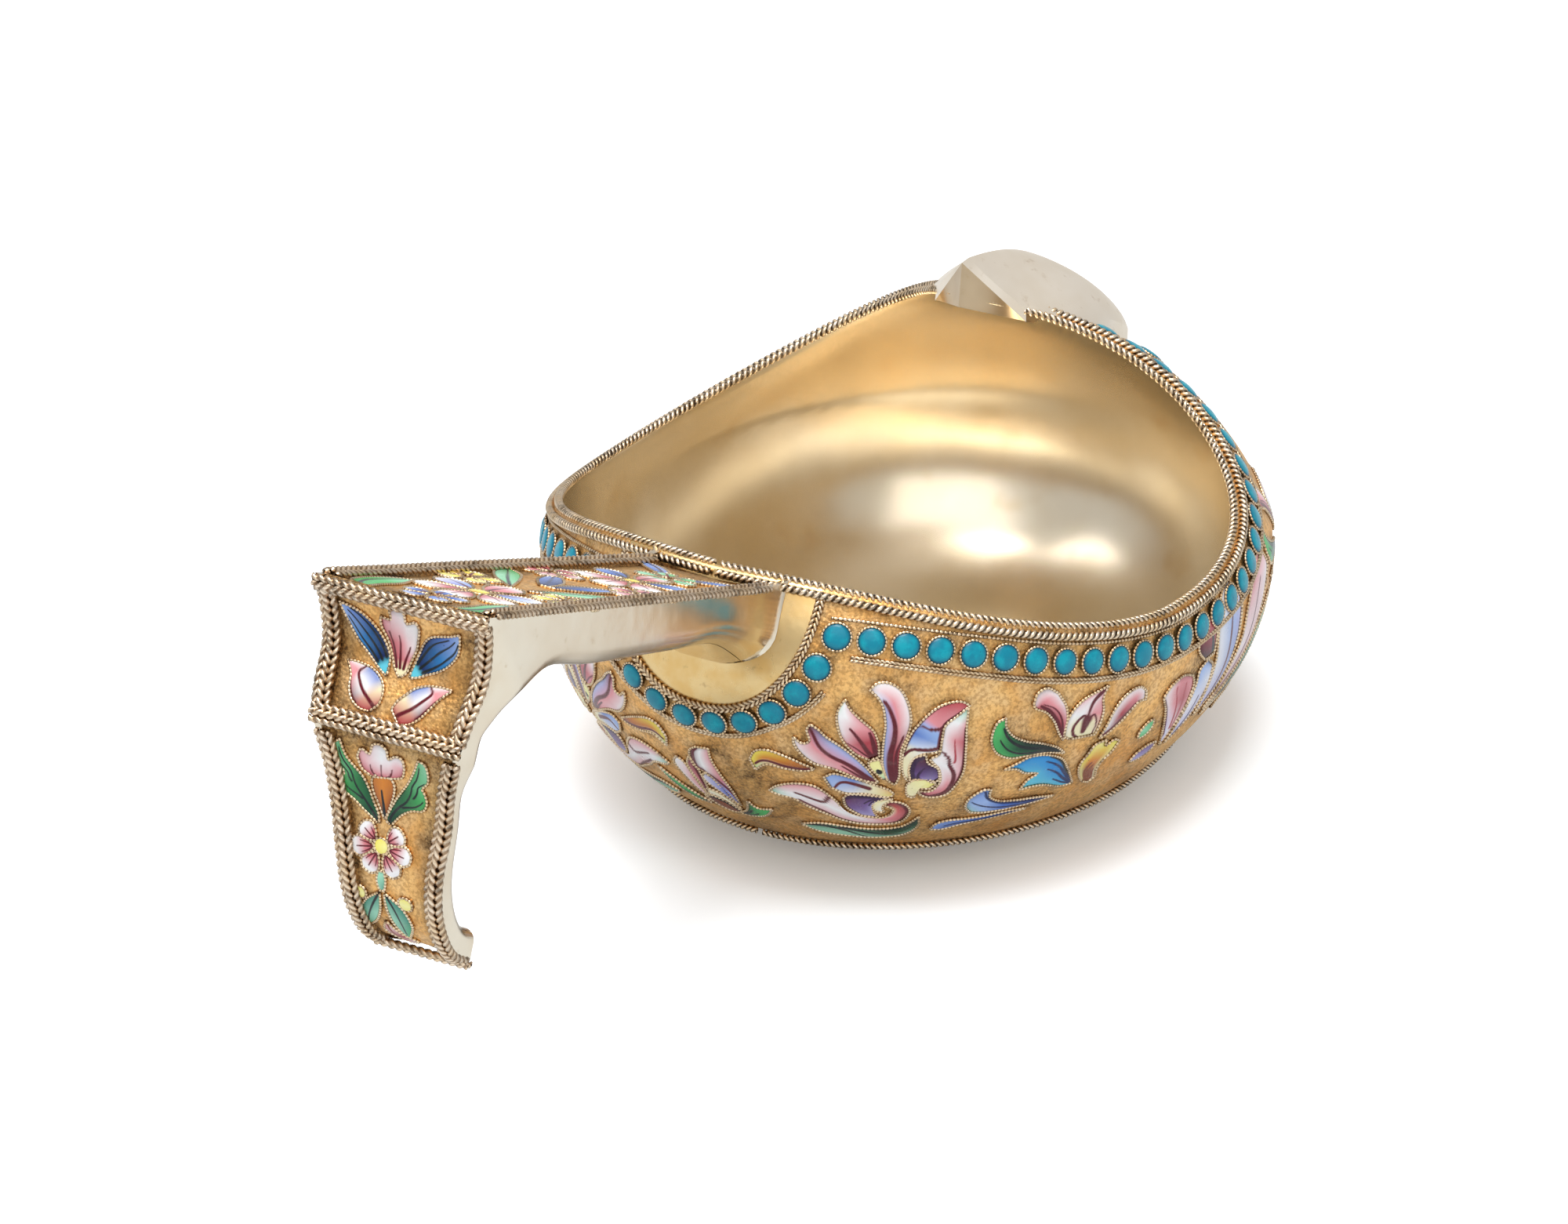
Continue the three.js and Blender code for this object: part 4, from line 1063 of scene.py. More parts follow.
# The large flower beside the half disc: upright petals, two rolled lobes and a scroll below.
LARGE = [
    ([(30.6, -17.2), (28.4, -10.6), (25.3, -5.2), (22.7, -2), (21.3, 0.5)],
     [(20.2, 1.8), (19.5, 0), (19.7, -3.7), (18.5, -4.5), (17, -2.7)],
     [(30.6, -17.2), (28, -16), (24.8, -13.4), (22.7, -12), (20, -10.8), (18.2, -8.5), (17, -5)],
     "0 ink ink ink|.14 sky plum rose|.35 sky pink pink|.7 sky pink white|1 plum pink white",
     ("plum", 0.34, (0.5, 0), (0.42, 0.35), (0.4, 0.7), (0.12, 0.98)),
     ("plum", 0.22, (0.8, 0), (0.72, 0.22), (0.62, 0.42))),
    ([(29.6, -9), (27.3, -7), (25.4, -2.8), (24.8, 1.8), (25, 5.5)], [(26.5, 8.8)],
     [(31.2, -8), (31.3, -3.3), (30.6, 0.6), (29, 3.3), (27.2, 6.4)],
     "0 pink rose rose|.3 pink rose rose|.5 white pink pink|.75 white white pink|1 mint white white",
     ("plum", 0.14, (0.3, 0.02), (0.25, 0.2), (0.08, 0.34)),
     ("plum", 0.3, (0.5, 0.02), (0.5, 0.3), (0.4, 0.56)),
     ("plum", 0.3, (0.8, 0.02), (0.84, 0.3), (0.86, 0.44))),
    ([(31.6, -16), (29.4, -11.6)], [(29.3, -9.6), (31.3, -8.8)], [(32, -15.6), (31.7, -12.6)],
     "0 mint mint|.5 lemon lemon|1 lemon lemon", ("ink", 0.36, (0.5, 0.45), (0.5, 0.55))),
    ([(33.3, -18), (32.2, -16.2), (31.6, -11), (32.2, -3.2), (32.8, 1.8), (32.7, 7), (31.9, 9.3)],
     [(30.8, 10.8)],
     [(33.3, -18), (34.1, -15.3), (34.5, -10.5), (35.1, -5.5), (36.3, -1.7), (37.2, 3.3), (37, 7.5),
      (36, 10.8), (34, 12.4), (32, 12.2)],
     "0 ink ink ink|.1 sky plum plum|.35 sky rose rose|.6 sky pink white|.8 sky pink white|"
     "1 white white white",
     ("plum", 0.4, (0.45, 0.04), (0.42, 0.3), (0.42, 0.55), (0.2, 0.86)),
     ("plum", 0.24, (0.85, 0.04), (0.75, 0.25), (0.8, 0.48))),
    ([(35.5, -16.8), (34.9, -14), (35, -9), (35.8, -4.6), (37.6, 0.3), (40, 4), (42.6, 6.2), (45.8, 6.6)],
     [(47.3, 5.3)],
     [(35.9, -16.4), (36, -12), (37.2, -8.6), (39, -7.6), (41.1, -7.6), (41.9, -4), (42.9, 0.7),
      (45.3, 3.3)],
     "0 cream cream|.25 cream cream|.38 cream white|.45 sky white|.54 blue sky|.64 sky sky|.7 pink pink|"
     ".85 rose pink|1 red rose",
     ("plum", 0.3, (0.98, 0.5), (0.6, 0.42), (0.3, 0.38), (0.1, 0.3)),
     ("plum", 0.28, (0.98, 0.72), (0.5, 0.64), (0.1, 0.62)),
     ("plum", 0.26, (0.95, 0.5), (0.9, 0.7), (0.9, 0.95)),
     ("plum", 0.16, (0.03, 0.3), (0.03, 0.6), (0.04, 0.95))),
    ([(36, -16.5), (35.9, -12), (37, -8.9)], [(39, -8), (39.3, -11), (40.8, -13), (41, -17)],
     [(38.5, -16.4), (39.8, -18)],
     "0 dusk dusk violet|.4 dusk violet lavender|1 plum dusk violet",
     ("dusk", 0.34, (0.15, 0), (0.15, 0.5), (0.1, 0.95)),
     ("dusk", 0.2, (0.5, 0.1), (0.42, 0.5), (0.42, 0.8)), ("dusk", 0.3, (0.95, 0.3), (0.95, 0.95))),
    ([(37, -20.7), (39.2, -21.3), (41, -18), (40.9, -12.8), (39.7, -9.6), (41.1, -8.6), (41.9, -4),
      (42.9, 0.7), (45.3, 3.3)], [(47, 5)],
     [(37, -20.7), (37.6, -22.5), (39.5, -23.8), (41.8, -23.3), (43.7, -20), (45.2, -15.2), (45.8, -8),
      (46.3, -0.7)],
     "0 plum plum|.1 pink rose|.25 white pink pink|.45 white white pink|.7 white pink rose|"
     ".85 white white pink|1 mint mint",
     ("plum", 0.36, (0.96, 0.04), (0.96, 0.3), (0.96, 0.6), (0.97, 0.82)),
     ("plum", 0.3, (0.8, 0.12), (0.72, 0.35), (0.45, 0.5), (0.1, 0.56)),
     ("rose", 0.14, (0.62, 0.5), (0.5, 0.7))),
    ([(35.2, -18.2), (36.9, -16.2), (39.4, -16.8)], [(40.4, -18.6), (39.2, -20.2)],
     [(35.2, -18.2), (35.3, -22.6), (36.3, -23.2), (36.8, -20)],
     "0 cream cream|.6 lemon cream|1 yellow lemon"),
    ([(30.9, -26.3), (32.4, -28), (31.6, -30.8), (29.3, -32.5), (25.7, -31.3), (23.3, -28.5), (22.6, -25),
      (21, -21.6), (19, -19), (15.5, -18.8), (12.2, -20.7)], [(10.5, -23)],
     [(30.9, -26.3), (31.9, -24.7), (34, -25.3), (35.3, -27.8), (35.2, -30.8), (33.3, -34.8), (30.3, -35.8),
      (26.3, -35.6), (23, -34), (20, -30.9), (17, -28), (15, -25.4), (11.5, -24)],
     "0 plum plum|.1 cream red plum|.3 white pink rose|.45 white white pink|.7 pink white pink|"
     ".88 pink white white|1 mint mint",
     ("plum", 0.36, (0.96, 0.1), (0.94, 0.35), (0.94, 0.6), (0.8, 0.84)),
     ("plum", 0.3, (0.12, 0.62), (0.5, 0.72), (0.42, 0.84)), ("plum", 0.12, (0.03, 0.66), (0.04, 0.95))),
    ([(33, -21.7), (32.2, -19.9), (29, -17.2), (26, -15.2), (23, -14)], [(21.2, -15.5), (22, -18.9)],
     [(33, -21.7), (31.8, -22.6), (28, -21.2), (24.5, -21.2)],
     "0 orange yellow|.35 cream cream|.6 blue white|1 sky sky",
     ("plum", 0.28, (0.4, 0.4), (0.3, 0.7), (0.85, 0.9))),
    ([(31.8, -23), (28, -21.8), (25, -21.7)], [(23.9, -23.3), (24.2, -27.3), (26.4, -31)],
     [(31.8, -23), (29, -26), (29, -29.6), (29.4, -32)],
     "0 dusk dusk|.4 dusk violet lavender|1 plum violet lavender",
     ("dusk", 0.32, (0.1, 0), (0.1, 0.9)), ("dusk", 0.18, (0.3, 0.1), (0.4, 0.6)),
     ("dusk", 0.16, (0.5, 0.1), (0.6, 0.5))),
    ([(32.8, -23.5), (29.5, -24.2), (28.7, -26.6)], [(29.3, -29), (30.8, -29.6)],
     [(32.8, -23.5), (31.4, -25), (30.6, -27)],
     "0 lemon cream|1 cream white"),
    ([(20, -12.8), (15.3, -9.5), (12, -8), (9.9, -8.7)], [(8.4, -12), (9, -15.5)],
     [(20, -12.8), (18.2, -13.6), (14.8, -13.6), (11.5, -12.9)],
     "0 brown ink|.3 orange brown|.7 yellow orange cream|1 yellow yellow mint",
     ("plum", 0.28, (0.8, 0.02), (0.75, 0.5), (0.6, 0.92)))]

# The flower at the belly, between a green and two blue leaves.
MIDDLE = [
    ([(63.8, -16), (60, -14), (56.3, -13.5), (53.6, -13.2), (51.3, -11), (50.3, -7.3), (50.6, -4),
      (51.7, -1)],
     [(53.2, -0.2)], [(63.8, -16), (62, -13), (59.2, -10.5), (56.5, -8.7), (54.1, -6), (53, -2.5)],
     "0 ink ink|.25 pine ink|.5 green pine ink|.8 green green pine|1 green green green",
     ("ink", 0.28, (0.75, 0.05), (0.7, 0.4), (0.8, 0.85)),
     ("ink", 0.18, (0.35, 0.1), (0.35, 0.45), (0.4, 0.7)), ("ink", 0.22, (0.06, 0.08), (0.05, 0.4))),
    ([(63.3, -11.5), (62.5, -8.8), (61.6, -4.3), (60.2, -1), (58.6, 0.7)],
     [(58.2, 2.2), (59.3, 5), (61.2, 5.7), (63, 3.7)],
     [(63.3, -11.5), (63.7, -8.3), (64.2, -4.3), (64.1, -0.7)],
     "0 plum plum plum|.4 plum rose pink|.75 plum pink white|.88 rose pink white|1 white white white",
     ("plum", 0.36, (0.15, 0), (0.15, 0.5), (0.2, 0.86)),
     ("plum", 0.14, (0.55, 0.2), (0.5, 0.6), (0.3, 0.86))),
    ([(64.6, -11.7), (63.5, -10.3), (63.7, -7.3), (65, -3.6), (67.4, -0.8), (70.1, 0.3)], [(72.9, 1.2)],
     [(69.7, -12.8), (70.6, -10), (71.4, -6), (71.5, -1.9)],
     "0 cream cream cream cream|.3 white cream cream cream pink|.45 white white pink pink|"
     ".75 pink white pink|1 rose rose",
     ("plum", 0.2, (0.28, 0.02), (0.22, 0.25), (0.4, 0.44), (0.55, 0.36), (0.7, 0.44), (0.86, 0.25),
      (0.84, 0.02)),
     ("plum", 0.62, (0.54, 0.36), (0.52, 0.14)), ("plum", 0.3, (0.62, 0.99), (0.5, 0.7), (0.52, 0.42))),
    ([(70.6, -15), (72.1, -11.3), (73.7, -7.3), (75.7, -4.5), (77.8, -3.3), (79.6, -3.4)],
     [(80.9, -5.4), (80.8, -8)], [(70.6, -15), (72.7, -13.8), (74.9, -12), (77.3, -9.5), (79, -7.8)],
     "0 plum plum|.2 white plum|.5 white rose plum|.8 white pink rose|1 white white white",
     ("plum", 0.4, (0.85, 0), (0.85, 0.4), (0.92, 0.78))),
    ([(66.6, -29.5), (64.6, -21.8), (63.2, -17.7), (60, -14.8), (57, -14.3), (54.6, -15.7)],
     [(52.3, -16.9), (54.6, -17.6), (56.2, -19.7), (58.8, -21), (57, -22.8), (55.6, -26.3)],
     [(66.6, -29.5), (63.9, -29.3), (60.2, -26.6), (57.8, -26)],
     "0 navy cyan|.25 navy azure cyan|.6 azure azure cyan|1 azure cyan cyan",
     ("ink", 0.4, (0.06, 0.02), (0.08, 0.3), (0.03, 0.6)),
     ("navy", 0.24, (0.25, 0.1), (0.28, 0.4), (0.22, 0.66)),
     ("navy", 0.24, (0.45, 0.1), (0.5, 0.4), (0.48, 0.66)), ("navy", 0.2, (0.66, 0.1), (0.74, 0.5))),
    ([(68.8, -30.5), (67.5, -26.5), (67.3, -22.7), (68.7, -19.3), (70.1, -16.7)],
     [(72.4, -16.3), (72.4, -18.5), (74.2, -17.4), (75.4, -18.6)],
     [(70.4, -32), (71.6, -30.5), (71.5, -27), (72.4, -24), (74, -21.8)],
     "0 lemon brown cream|.35 lemon brown brown cream|.6 yellow orange orange lemon|1 lemon yellow yellow",
     ("brown", 0.24, (0.35, 0), (0.3, 0.3), (0.45, 0.55)),
     ("brown", 0.24, (0.55, 0), (0.5, 0.3), (0.6, 0.5)),
     ("brown", 0.24, (0.75, 0), (0.7, 0.2), (0.75, 0.4))),
    ([(80, -21.2), (80.3, -18.8), (82, -16.8)], [(83.4, -16.4)], [(80, -21.2), (82, -20.8), (83.4, -18.8)],
     "0 green|.5 mint green|1 green"),
    ([(80, -30.5), (81.3, -27.8), (84, -26.5)], [(86.3, -26.8), (86, -28.6)],
     [(80, -30.5), (82, -31), (84.8, -30.3)],
     "0 lavender|.5 violet lavender|1 violet dusk")]
BLUE_LEAVES = [
    ([(63.4, -33.3), (59.2, -31.8), (55.5, -30.9), (52, -29.6), (50.1, -27)],
     [(50.2, -23.8), (49, -23.5), (46.3, -26.3), (45.6, -30), (46.5, -33)],
     [(63.4, -33.3), (59.3, -33.9), (55.6, -34.2), (51.9, -34.3), (48.7, -34)],
     "0 ink ink|.3 navy blue|.6 blue blue|.8 sky sky|1 blue sky mint",
     ("navy", 0.3, (0.2, 0), (0.15, 0.5), (0.1, 0.95)), ("navy", 0.22, (0.7, 0), (0.6, 0.5), (0.5, 0.95))),
    ([(58, -36.4), (54.3, -35.8), (49.7, -36.2), (46, -36.2), (42.5, -36), (40.2, -37.3)], [(39, -40.6)],
     [(58, -36.6), (50, -38), (45.3, -39), (41.3, -41)],
     "0 navy navy|.5 blue navy|1 sky blue", ("navy", 0.22, (0.5, 0), (0.5, 0.8)))]
GREEN_LEAF = [
    ([(14, -38.3), (18, -36.6), (23, -37.6), (28, -38.8), (33, -37.8), (35.5, -35)], [(37, -32.3)],
     [(14, -38.5), (17, -42.2), (22, -44.2), (28.5, -45), (33.5, -43.2), (36.6, -37.8)],
     "0 pine mint|.3 pine mint mint|.6 ink pine mint|.85 ink pine|1 ink ink",
     ("ink", 0.28, (0.1, 0), (0.25, 0.3), (0.9, 0.45)), ("ink", 0.24, (0.1, 0.3), (0.3, 0.5), (0.9, 0.7)))]

# The flower beside it, turned towards the prow.
SIDE = [
    ([(88, -30), (87, -22), (86.3, -15), (85.6, -10.7)], [(87.5, -8.3), (90.6, -7.5), (92.8, -9.5)],
     [(88, -30), (90.5, -24), (92.6, -17), (93.3, -12.5)],
     "0 lavender lavender|.3 lavender white pink|.7 white pink rose pink|1 white pink pink",
     ("rose", 0.2, (0.5, 0.3), (0.45, 0.6), (0.4, 0.9)), ("rose", 0.2, (0.7, 0.3), (0.68, 0.6), (0.7, 0.9)),
     ("plum", 0.3, (0.04, 0.2), (0.03, 0.8))),
    ([(90, -31), (91.5, -24), (93.9, -14), (94.6, -9.5)], [(96.5, -8), (98, -11)],
     [(90, -31), (94.5, -25), (97.5, -17)],
     "0 lavender lavender|.5 white lavender|.8 sky white|1 sky sky", ("dusk", 0.2, (0.6, 0), (0.5, 0.6))),
    ([(95.6, -7.5), (94.2, -3.5), (94.8, 1)], [(97, 4.4)], [(98, -7.5), (98.8, -2), (98.4, 2)],
     "0 ink plum|.5 plum rose|1 rose pink", ("ink", 0.3, (0.8, 0), (0.7, 0.5))),
    ([(96, -27), (98.6, -12), (99.6, 0), (102, 6.5)], [(104.6, 8)],
     [(96, -27), (103, -18), (106, -5), (106.4, 3)],
     "0 lavender lavender|.4 white blue|.7 white sky lavender|1 white white",
     ("plum", 0.24, (0.6, 0.1), (0.5, 0.8))),
    ([(99, -28), (106.5, -14), (109, -3), (113, 4)], [(117, 6)],
     [(99, -28), (111, -18), (117, -6), (118.6, 1)],
     "0 rose pink|.4 white pink|.8 pink white|1 pink pink", ("plum", 0.24, (0.5, 0.1), (0.4, 0.8))),
    ([(99, -30), (110, -22), (117, -14)], [(121, -11), (120, -17)], [(99, -30), (110, -28), (116, -23)],
     "0 ink pine|.5 pine green|1 green mint", ("ink", 0.24, (0.4, 0), (0.4, 0.8)))]


def moved(cells, lon, lat, wide=1.0, tall=1.0, about=(65, -15)):
    """The same cells laid elsewhere on the wall, about a middle."""
    def place(spot):
        return about[0] + lon + (spot[0] - about[0]) * wide, about[1] + lat + (spot[1] - about[1]) * tall
    return [([place(p) for p in first], [place(p) for p in end], [place(p) for p in second], *rest)
            for first, end, second, *rest in cells]


# The small spray under the half disc. The prow has it twice, larger and turned over.
UNDER_HANDLE = [
    ([(-4.6, -33.6), (-6, -30.8), (-7.4, -26.5), (-8.7, -21)], [(-7.6, -18.4)],
     [(-4.4, -33.4), (-4.8, -29), (-5.4, -24), (-6.3, -19.6)],
     "0 white pink|.5 white pink|1 white white", ("plum", 0.2, (0.04, 0), (0.04, 0.6))),
    ([(2.4, -34), (0.4, -27), (-1.6, -21.2), (-3.8, -20), (-3.7, -14)], [(-2.2, -12.2), (0.5, -11.6)],
     [(2.6, -34), (2.7, -31), (2.3, -26), (1.2, -20), (0.4, -15)],
     "0 blue navy|.3 blue lavender|.5 plum pink|.7 plum white pink|1 plum white pink",
     ("plum", 0.5, (0.1, 0.6), (0.14, 0.97)),
     ("plum", 0.24, (0.05, 0.55), (0.4, 0.5), (0.85, 0.3), (0.95, 0.1))),
    ([(-4.2, -33), (-4.4, -27), (-5.4, -20)], [(-4.5, -16.8)],
     [(-4, -33), (-3.2, -28), (-3.2, -22), (-3.9, -18)],
     "0 plum plum|.5 pink rose|1 plum plum", ("plum", 0.3, (0.8, 0), (0.8, 0.9))),
    ([(2.2, -33.5), (-0.5, -28.4), (-2.6, -25.6)], [(-3.1, -23.2), (-2.1, -21.6)],
     [(2.2, -33.5), (1.2, -27.4), (-0.2, -23.6)],
     "0 navy navy|.5 lavender blue|1 white lavender", ("plum", 0.2, (0.95, 0.1), (0.95, 0.95))),
    ([(2.2, -36), (0.6, -31.8), (-1.4, -29.4), (-3.6, -29)], [(-4.2, -31.4)],
     [(2.2, -36.2), (0.2, -33.4), (-2, -31.6)],
     "0 cream cream|1 cream white"),
    ([(1.8, -37.2), (-0.4, -33.6), (-3.5, -32.2)], [(-5.4, -33.6), (-4, -36.2)],
     [(1.8, -37.4), (0.2, -38.8), (-2, -38.4)],
     "0 ink brown|.5 brown brown|1 ink brown", ("ink", 0.3, (0.1, 0), (0.1, 0.9))),
    ([(-5, -37), (-8.5, -34), (-12, -29.8)], [(-14.6, -26.8)], [(-5, -37.4), (-9, -37.5), (-13, -33)],
     "0 pine green|.5 green green|1 green mint", ("pine", 0.24, (0.5, 0), (0.5, 0.8))),
    ([(1, -38.5), (3.2, -35.9), (4.1, -33.4)], [(4.8, -30.3), (6.2, -33.2), (9.4, -32.4)],
     [(1, -38.7), (4, -38.7), (7, -36.9)], "0 ink pine|.5 pine green|1 pine green green",
     ("ink", 0.26, (0.2, 0.1), (0.25, 0.6)), ("ink", 0.2, (0.6, 0.1), (0.6, 0.6)))]

for name, cells in (("spray_large", LARGE), ("spray_middle", MIDDLE), ("spray_side", SIDE),
                    ("leaf_blue", BLUE_LEAVES), ("leaf_green", GREEN_LEAF),
                    ("spray_bow", moved(MIDDLE, 68, 9, 0.9, 0.9)),
                    ("leaf_low", moved(GREEN_LEAF, 92, 3, 1.0, 0.8, (25, -38)))):
    near = spray(f"{name}_near", f"{name}_near", on_wall, WALL_UNITS, cells)
    mirrored(near, f"{name}_far")
spray("spray_handle", "spray_handle", on_wall, WALL_UNITS, UNDER_HANDLE)
TWIN = moved(UNDER_HANDLE, 193, 3, 1.5, 1.7, (-1.5, -25))
turned_over = [[[(360 - lon, lat) for lon, lat in edge] for edge in each[:3]] + list(each[3:])
               for each in TWIN]
spray("spray_prow", "spray_prow", on_wall, WALL_UNITS, TWIN + turned_over)

# Brown patina stays in the matt ground beside the wires and between the studs, out of a cloth's reach;
# the same darkening is also painted shade in the creases beside them.
PATINA_AND_SHADE_WIDTH = 0.55
sheltering = [(spot.x, y, spot.z) for spot in wire_spots for y in (spot.y, -spot.y)]
for name in ("studs_near", "studs_far", "lunette_studs", "cap_studs", "lower_lip_rope_near",
             "lower_lip_rope_far", "lunette_rope", "foot_rope_near", "foot_rope_far"):
    sheltering += [tuple(corner.co) for corner in list(bpy.data.objects[name].data.vertices)[::8]]
beside = kdtree.KDTree(len(sheltering))
for spot in sheltering:
    beside.insert(spot, 0)
beside.balance()
tones = bowl.data.color_attributes.new("tone", "FLOAT_COLOR", "POINT")
patina_and_painted_shade = []
for corner in bowl.data.vertices:
    gap = beside.find(corner.co)[2] / MM
    patina_and_painted_shade.extend((math.exp(-((gap / PATINA_AND_SHADE_WIDTH) ** 2)), 0, 0, 1))
tones.data.foreach_set("color", patina_and_painted_shade)


def on_plate(rows, under=0.3 * MM):
    """A way to lay things on a plate of the handle, by millimetres along it and across it."""
    held = [station(rows, k / 80) for k in range(81)]
    lengths = np.cumsum([0] + [(b[0] - a[0]).length / MM for a, b in zip(held, held[1:])])

    def lay(along, across, lift):
        at = float(np.interp(along, lengths, range(81)))
        k = min(int(at), 79)
        face = held[k][0].lerp(held[k + 1][0], at - k)
        out = held[k][2].lerp(held[k + 1][2], at - k)
        return shifted(face + out * (lift - under), across * MM)

    return lay


# The handle's three sprays, laid by millimetres along their plate and across it.
BLUE_VEINS = (("ink", 0.14, (0.2, 0.2), (0.25, 0.8)), ("ink", 0.14, (0.5, 0.2), (0.55, 0.85)),
              ("ink", 0.14, (0.8, 0.2), (0.85, 0.85)))
LOBE = ("0 rose rose|.25 rose cream|.4 plum white blue|.6 rose white blue|.72 pink pink white|1 pink white",
        ("plum", 0.2, (0.5, 0.05), (0.42, 0.4), (0.5, 0.65), (0.95, 0.68)),
        ("plum", 0.14, (0.06, 0.3), (0.06, 0.7)))
BLOCK_SPRAY = [
    ([(8.15, 1.65), (7.55, 2.65), (6.8, 3.65), (5.75, 5), (4.25, 6.05)], [(2.6, 6.9)],
     [(8.15, 1.6), (7.35, 1.6), (6.4, 1.7), (5.5, 2.15), (4.5, 2.9), (3.6, 3.95), (3, 5.1)],
     "0 cyan cyan|.14 cyan cyan|.22 navy navy|.5 azure navy|.8 sky blue|1 sky sky", *BLUE_VEINS),
    ([(8, 0.4), (7.2, 1.1), (6.2, 1.5), (5.05, 2), (3.95, 2.65)],
     [(3.1, 2.75), (3.05, 1.6), (2.3, 1.75), (1.9, 1.05), (2.1, 0.3), (3.1, 0.1), (2.8, -0.85),
      (3.35, -1.2)],
     [(8, 0.3), (7.5, -0.2), (6.5, -0.45), (5.35, -0.9), (4.25, -1.1)],
     "0 cream cream|.2 cream cream|.35 rose pink|.6 rose pink white|1 pink white white",
     ("plum", 0.16, (0.2, 0.2), (0.15, 0.8)), ("plum", 0.16, (0.45, 0.2), (0.45, 0.7)),
     ("plum", 0.16, (0.7, 0.2), (0.8, 0.6))),
    ([(7.8, -0.55), (6.85, -0.75), (5.7, -1.15), (4.5, -1.7), (3.85, -2.3), (3.5, -3.3), (3.25, -4.3)],
     [(2.85, -5.3)],
     [(7.8, -0.6), (7.65, -1.3), (7.2, -2.2), (6.75, -3.2), (6, -4.2), (4.85, -5.05), (3.85, -5.25)],
     "0 cyan cyan|.14 cyan cyan|.22 navy navy|.5 navy azure|.8 blue sky|1 sky sky", *BLUE_VEINS),
    ([(11.5, 2.3), (11.4, 3.4), (10.8, 4.3), (9.8, 4.8), (8.7, 5)], [(7.6, 5.7)],
     [(10.7, 1.5), (9.8, 1.4), (9, 1.6), (8.3, 2.2), (7.8, 3.1), (7.6, 4.3)], *LOBE),
    ([(12, -0.8), (11.7, -1.8), (11, -2.7), (10, -3.4), (9, -4)], [(7.9, -5)],
     [(10.8, 0.2), (9.9, -0.2), (9.2, -0.8), (8.6, -1.4), (8.1, -2.4), (7.9, -3.7)], *LOBE)]


def ray(middle, angle, reach, wide, base, tones, *veins):
    """A petal that stands on a middle, its tip at this angle and reach."""
    ahead = np.array([math.cos(math.radians(angle)), math.sin(math.radians(angle))])
    aside = np.array([-ahead[1], ahead[0]])
    spot = lambda out, off: tuple(np.array(middle) + ahead * out + aside * off)
    body = lambda sign: [spot(base, 0.12 * sign), spot(base + 0.3 * (reach - base), wide * 0.7 * sign),
                         spot(base + 0.7 * (reach - base), wide * sign)]
    return (body(1), [spot(reach * 0.98, wide * 0.5), spot(reach, 0), spot(reach * 0.98, -wide * 0.5)],
            body(-1), tones, *veins)


def dot(middle, radius, tones):
    """A small round cell."""
    x, y = middle
    slope = radius * 0.71
    return ([(x + radius, y), (x + slope, y + slope), (x, y + radius), (x - slope, y + slope)],
            [(x - radius, y)],
            [(x + radius, y), (x + slope, y - slope), (x, y - radius), (x - slope, y - slope)], tones)


def both_sides(first, end, second, *rest):
    """A cell and its mirror image across the plate's middle."""
    return [[[(along, sign * across) for along, across in edge] for edge in (first, end, second)]
            + list(rest) for sign in (1, -1)]


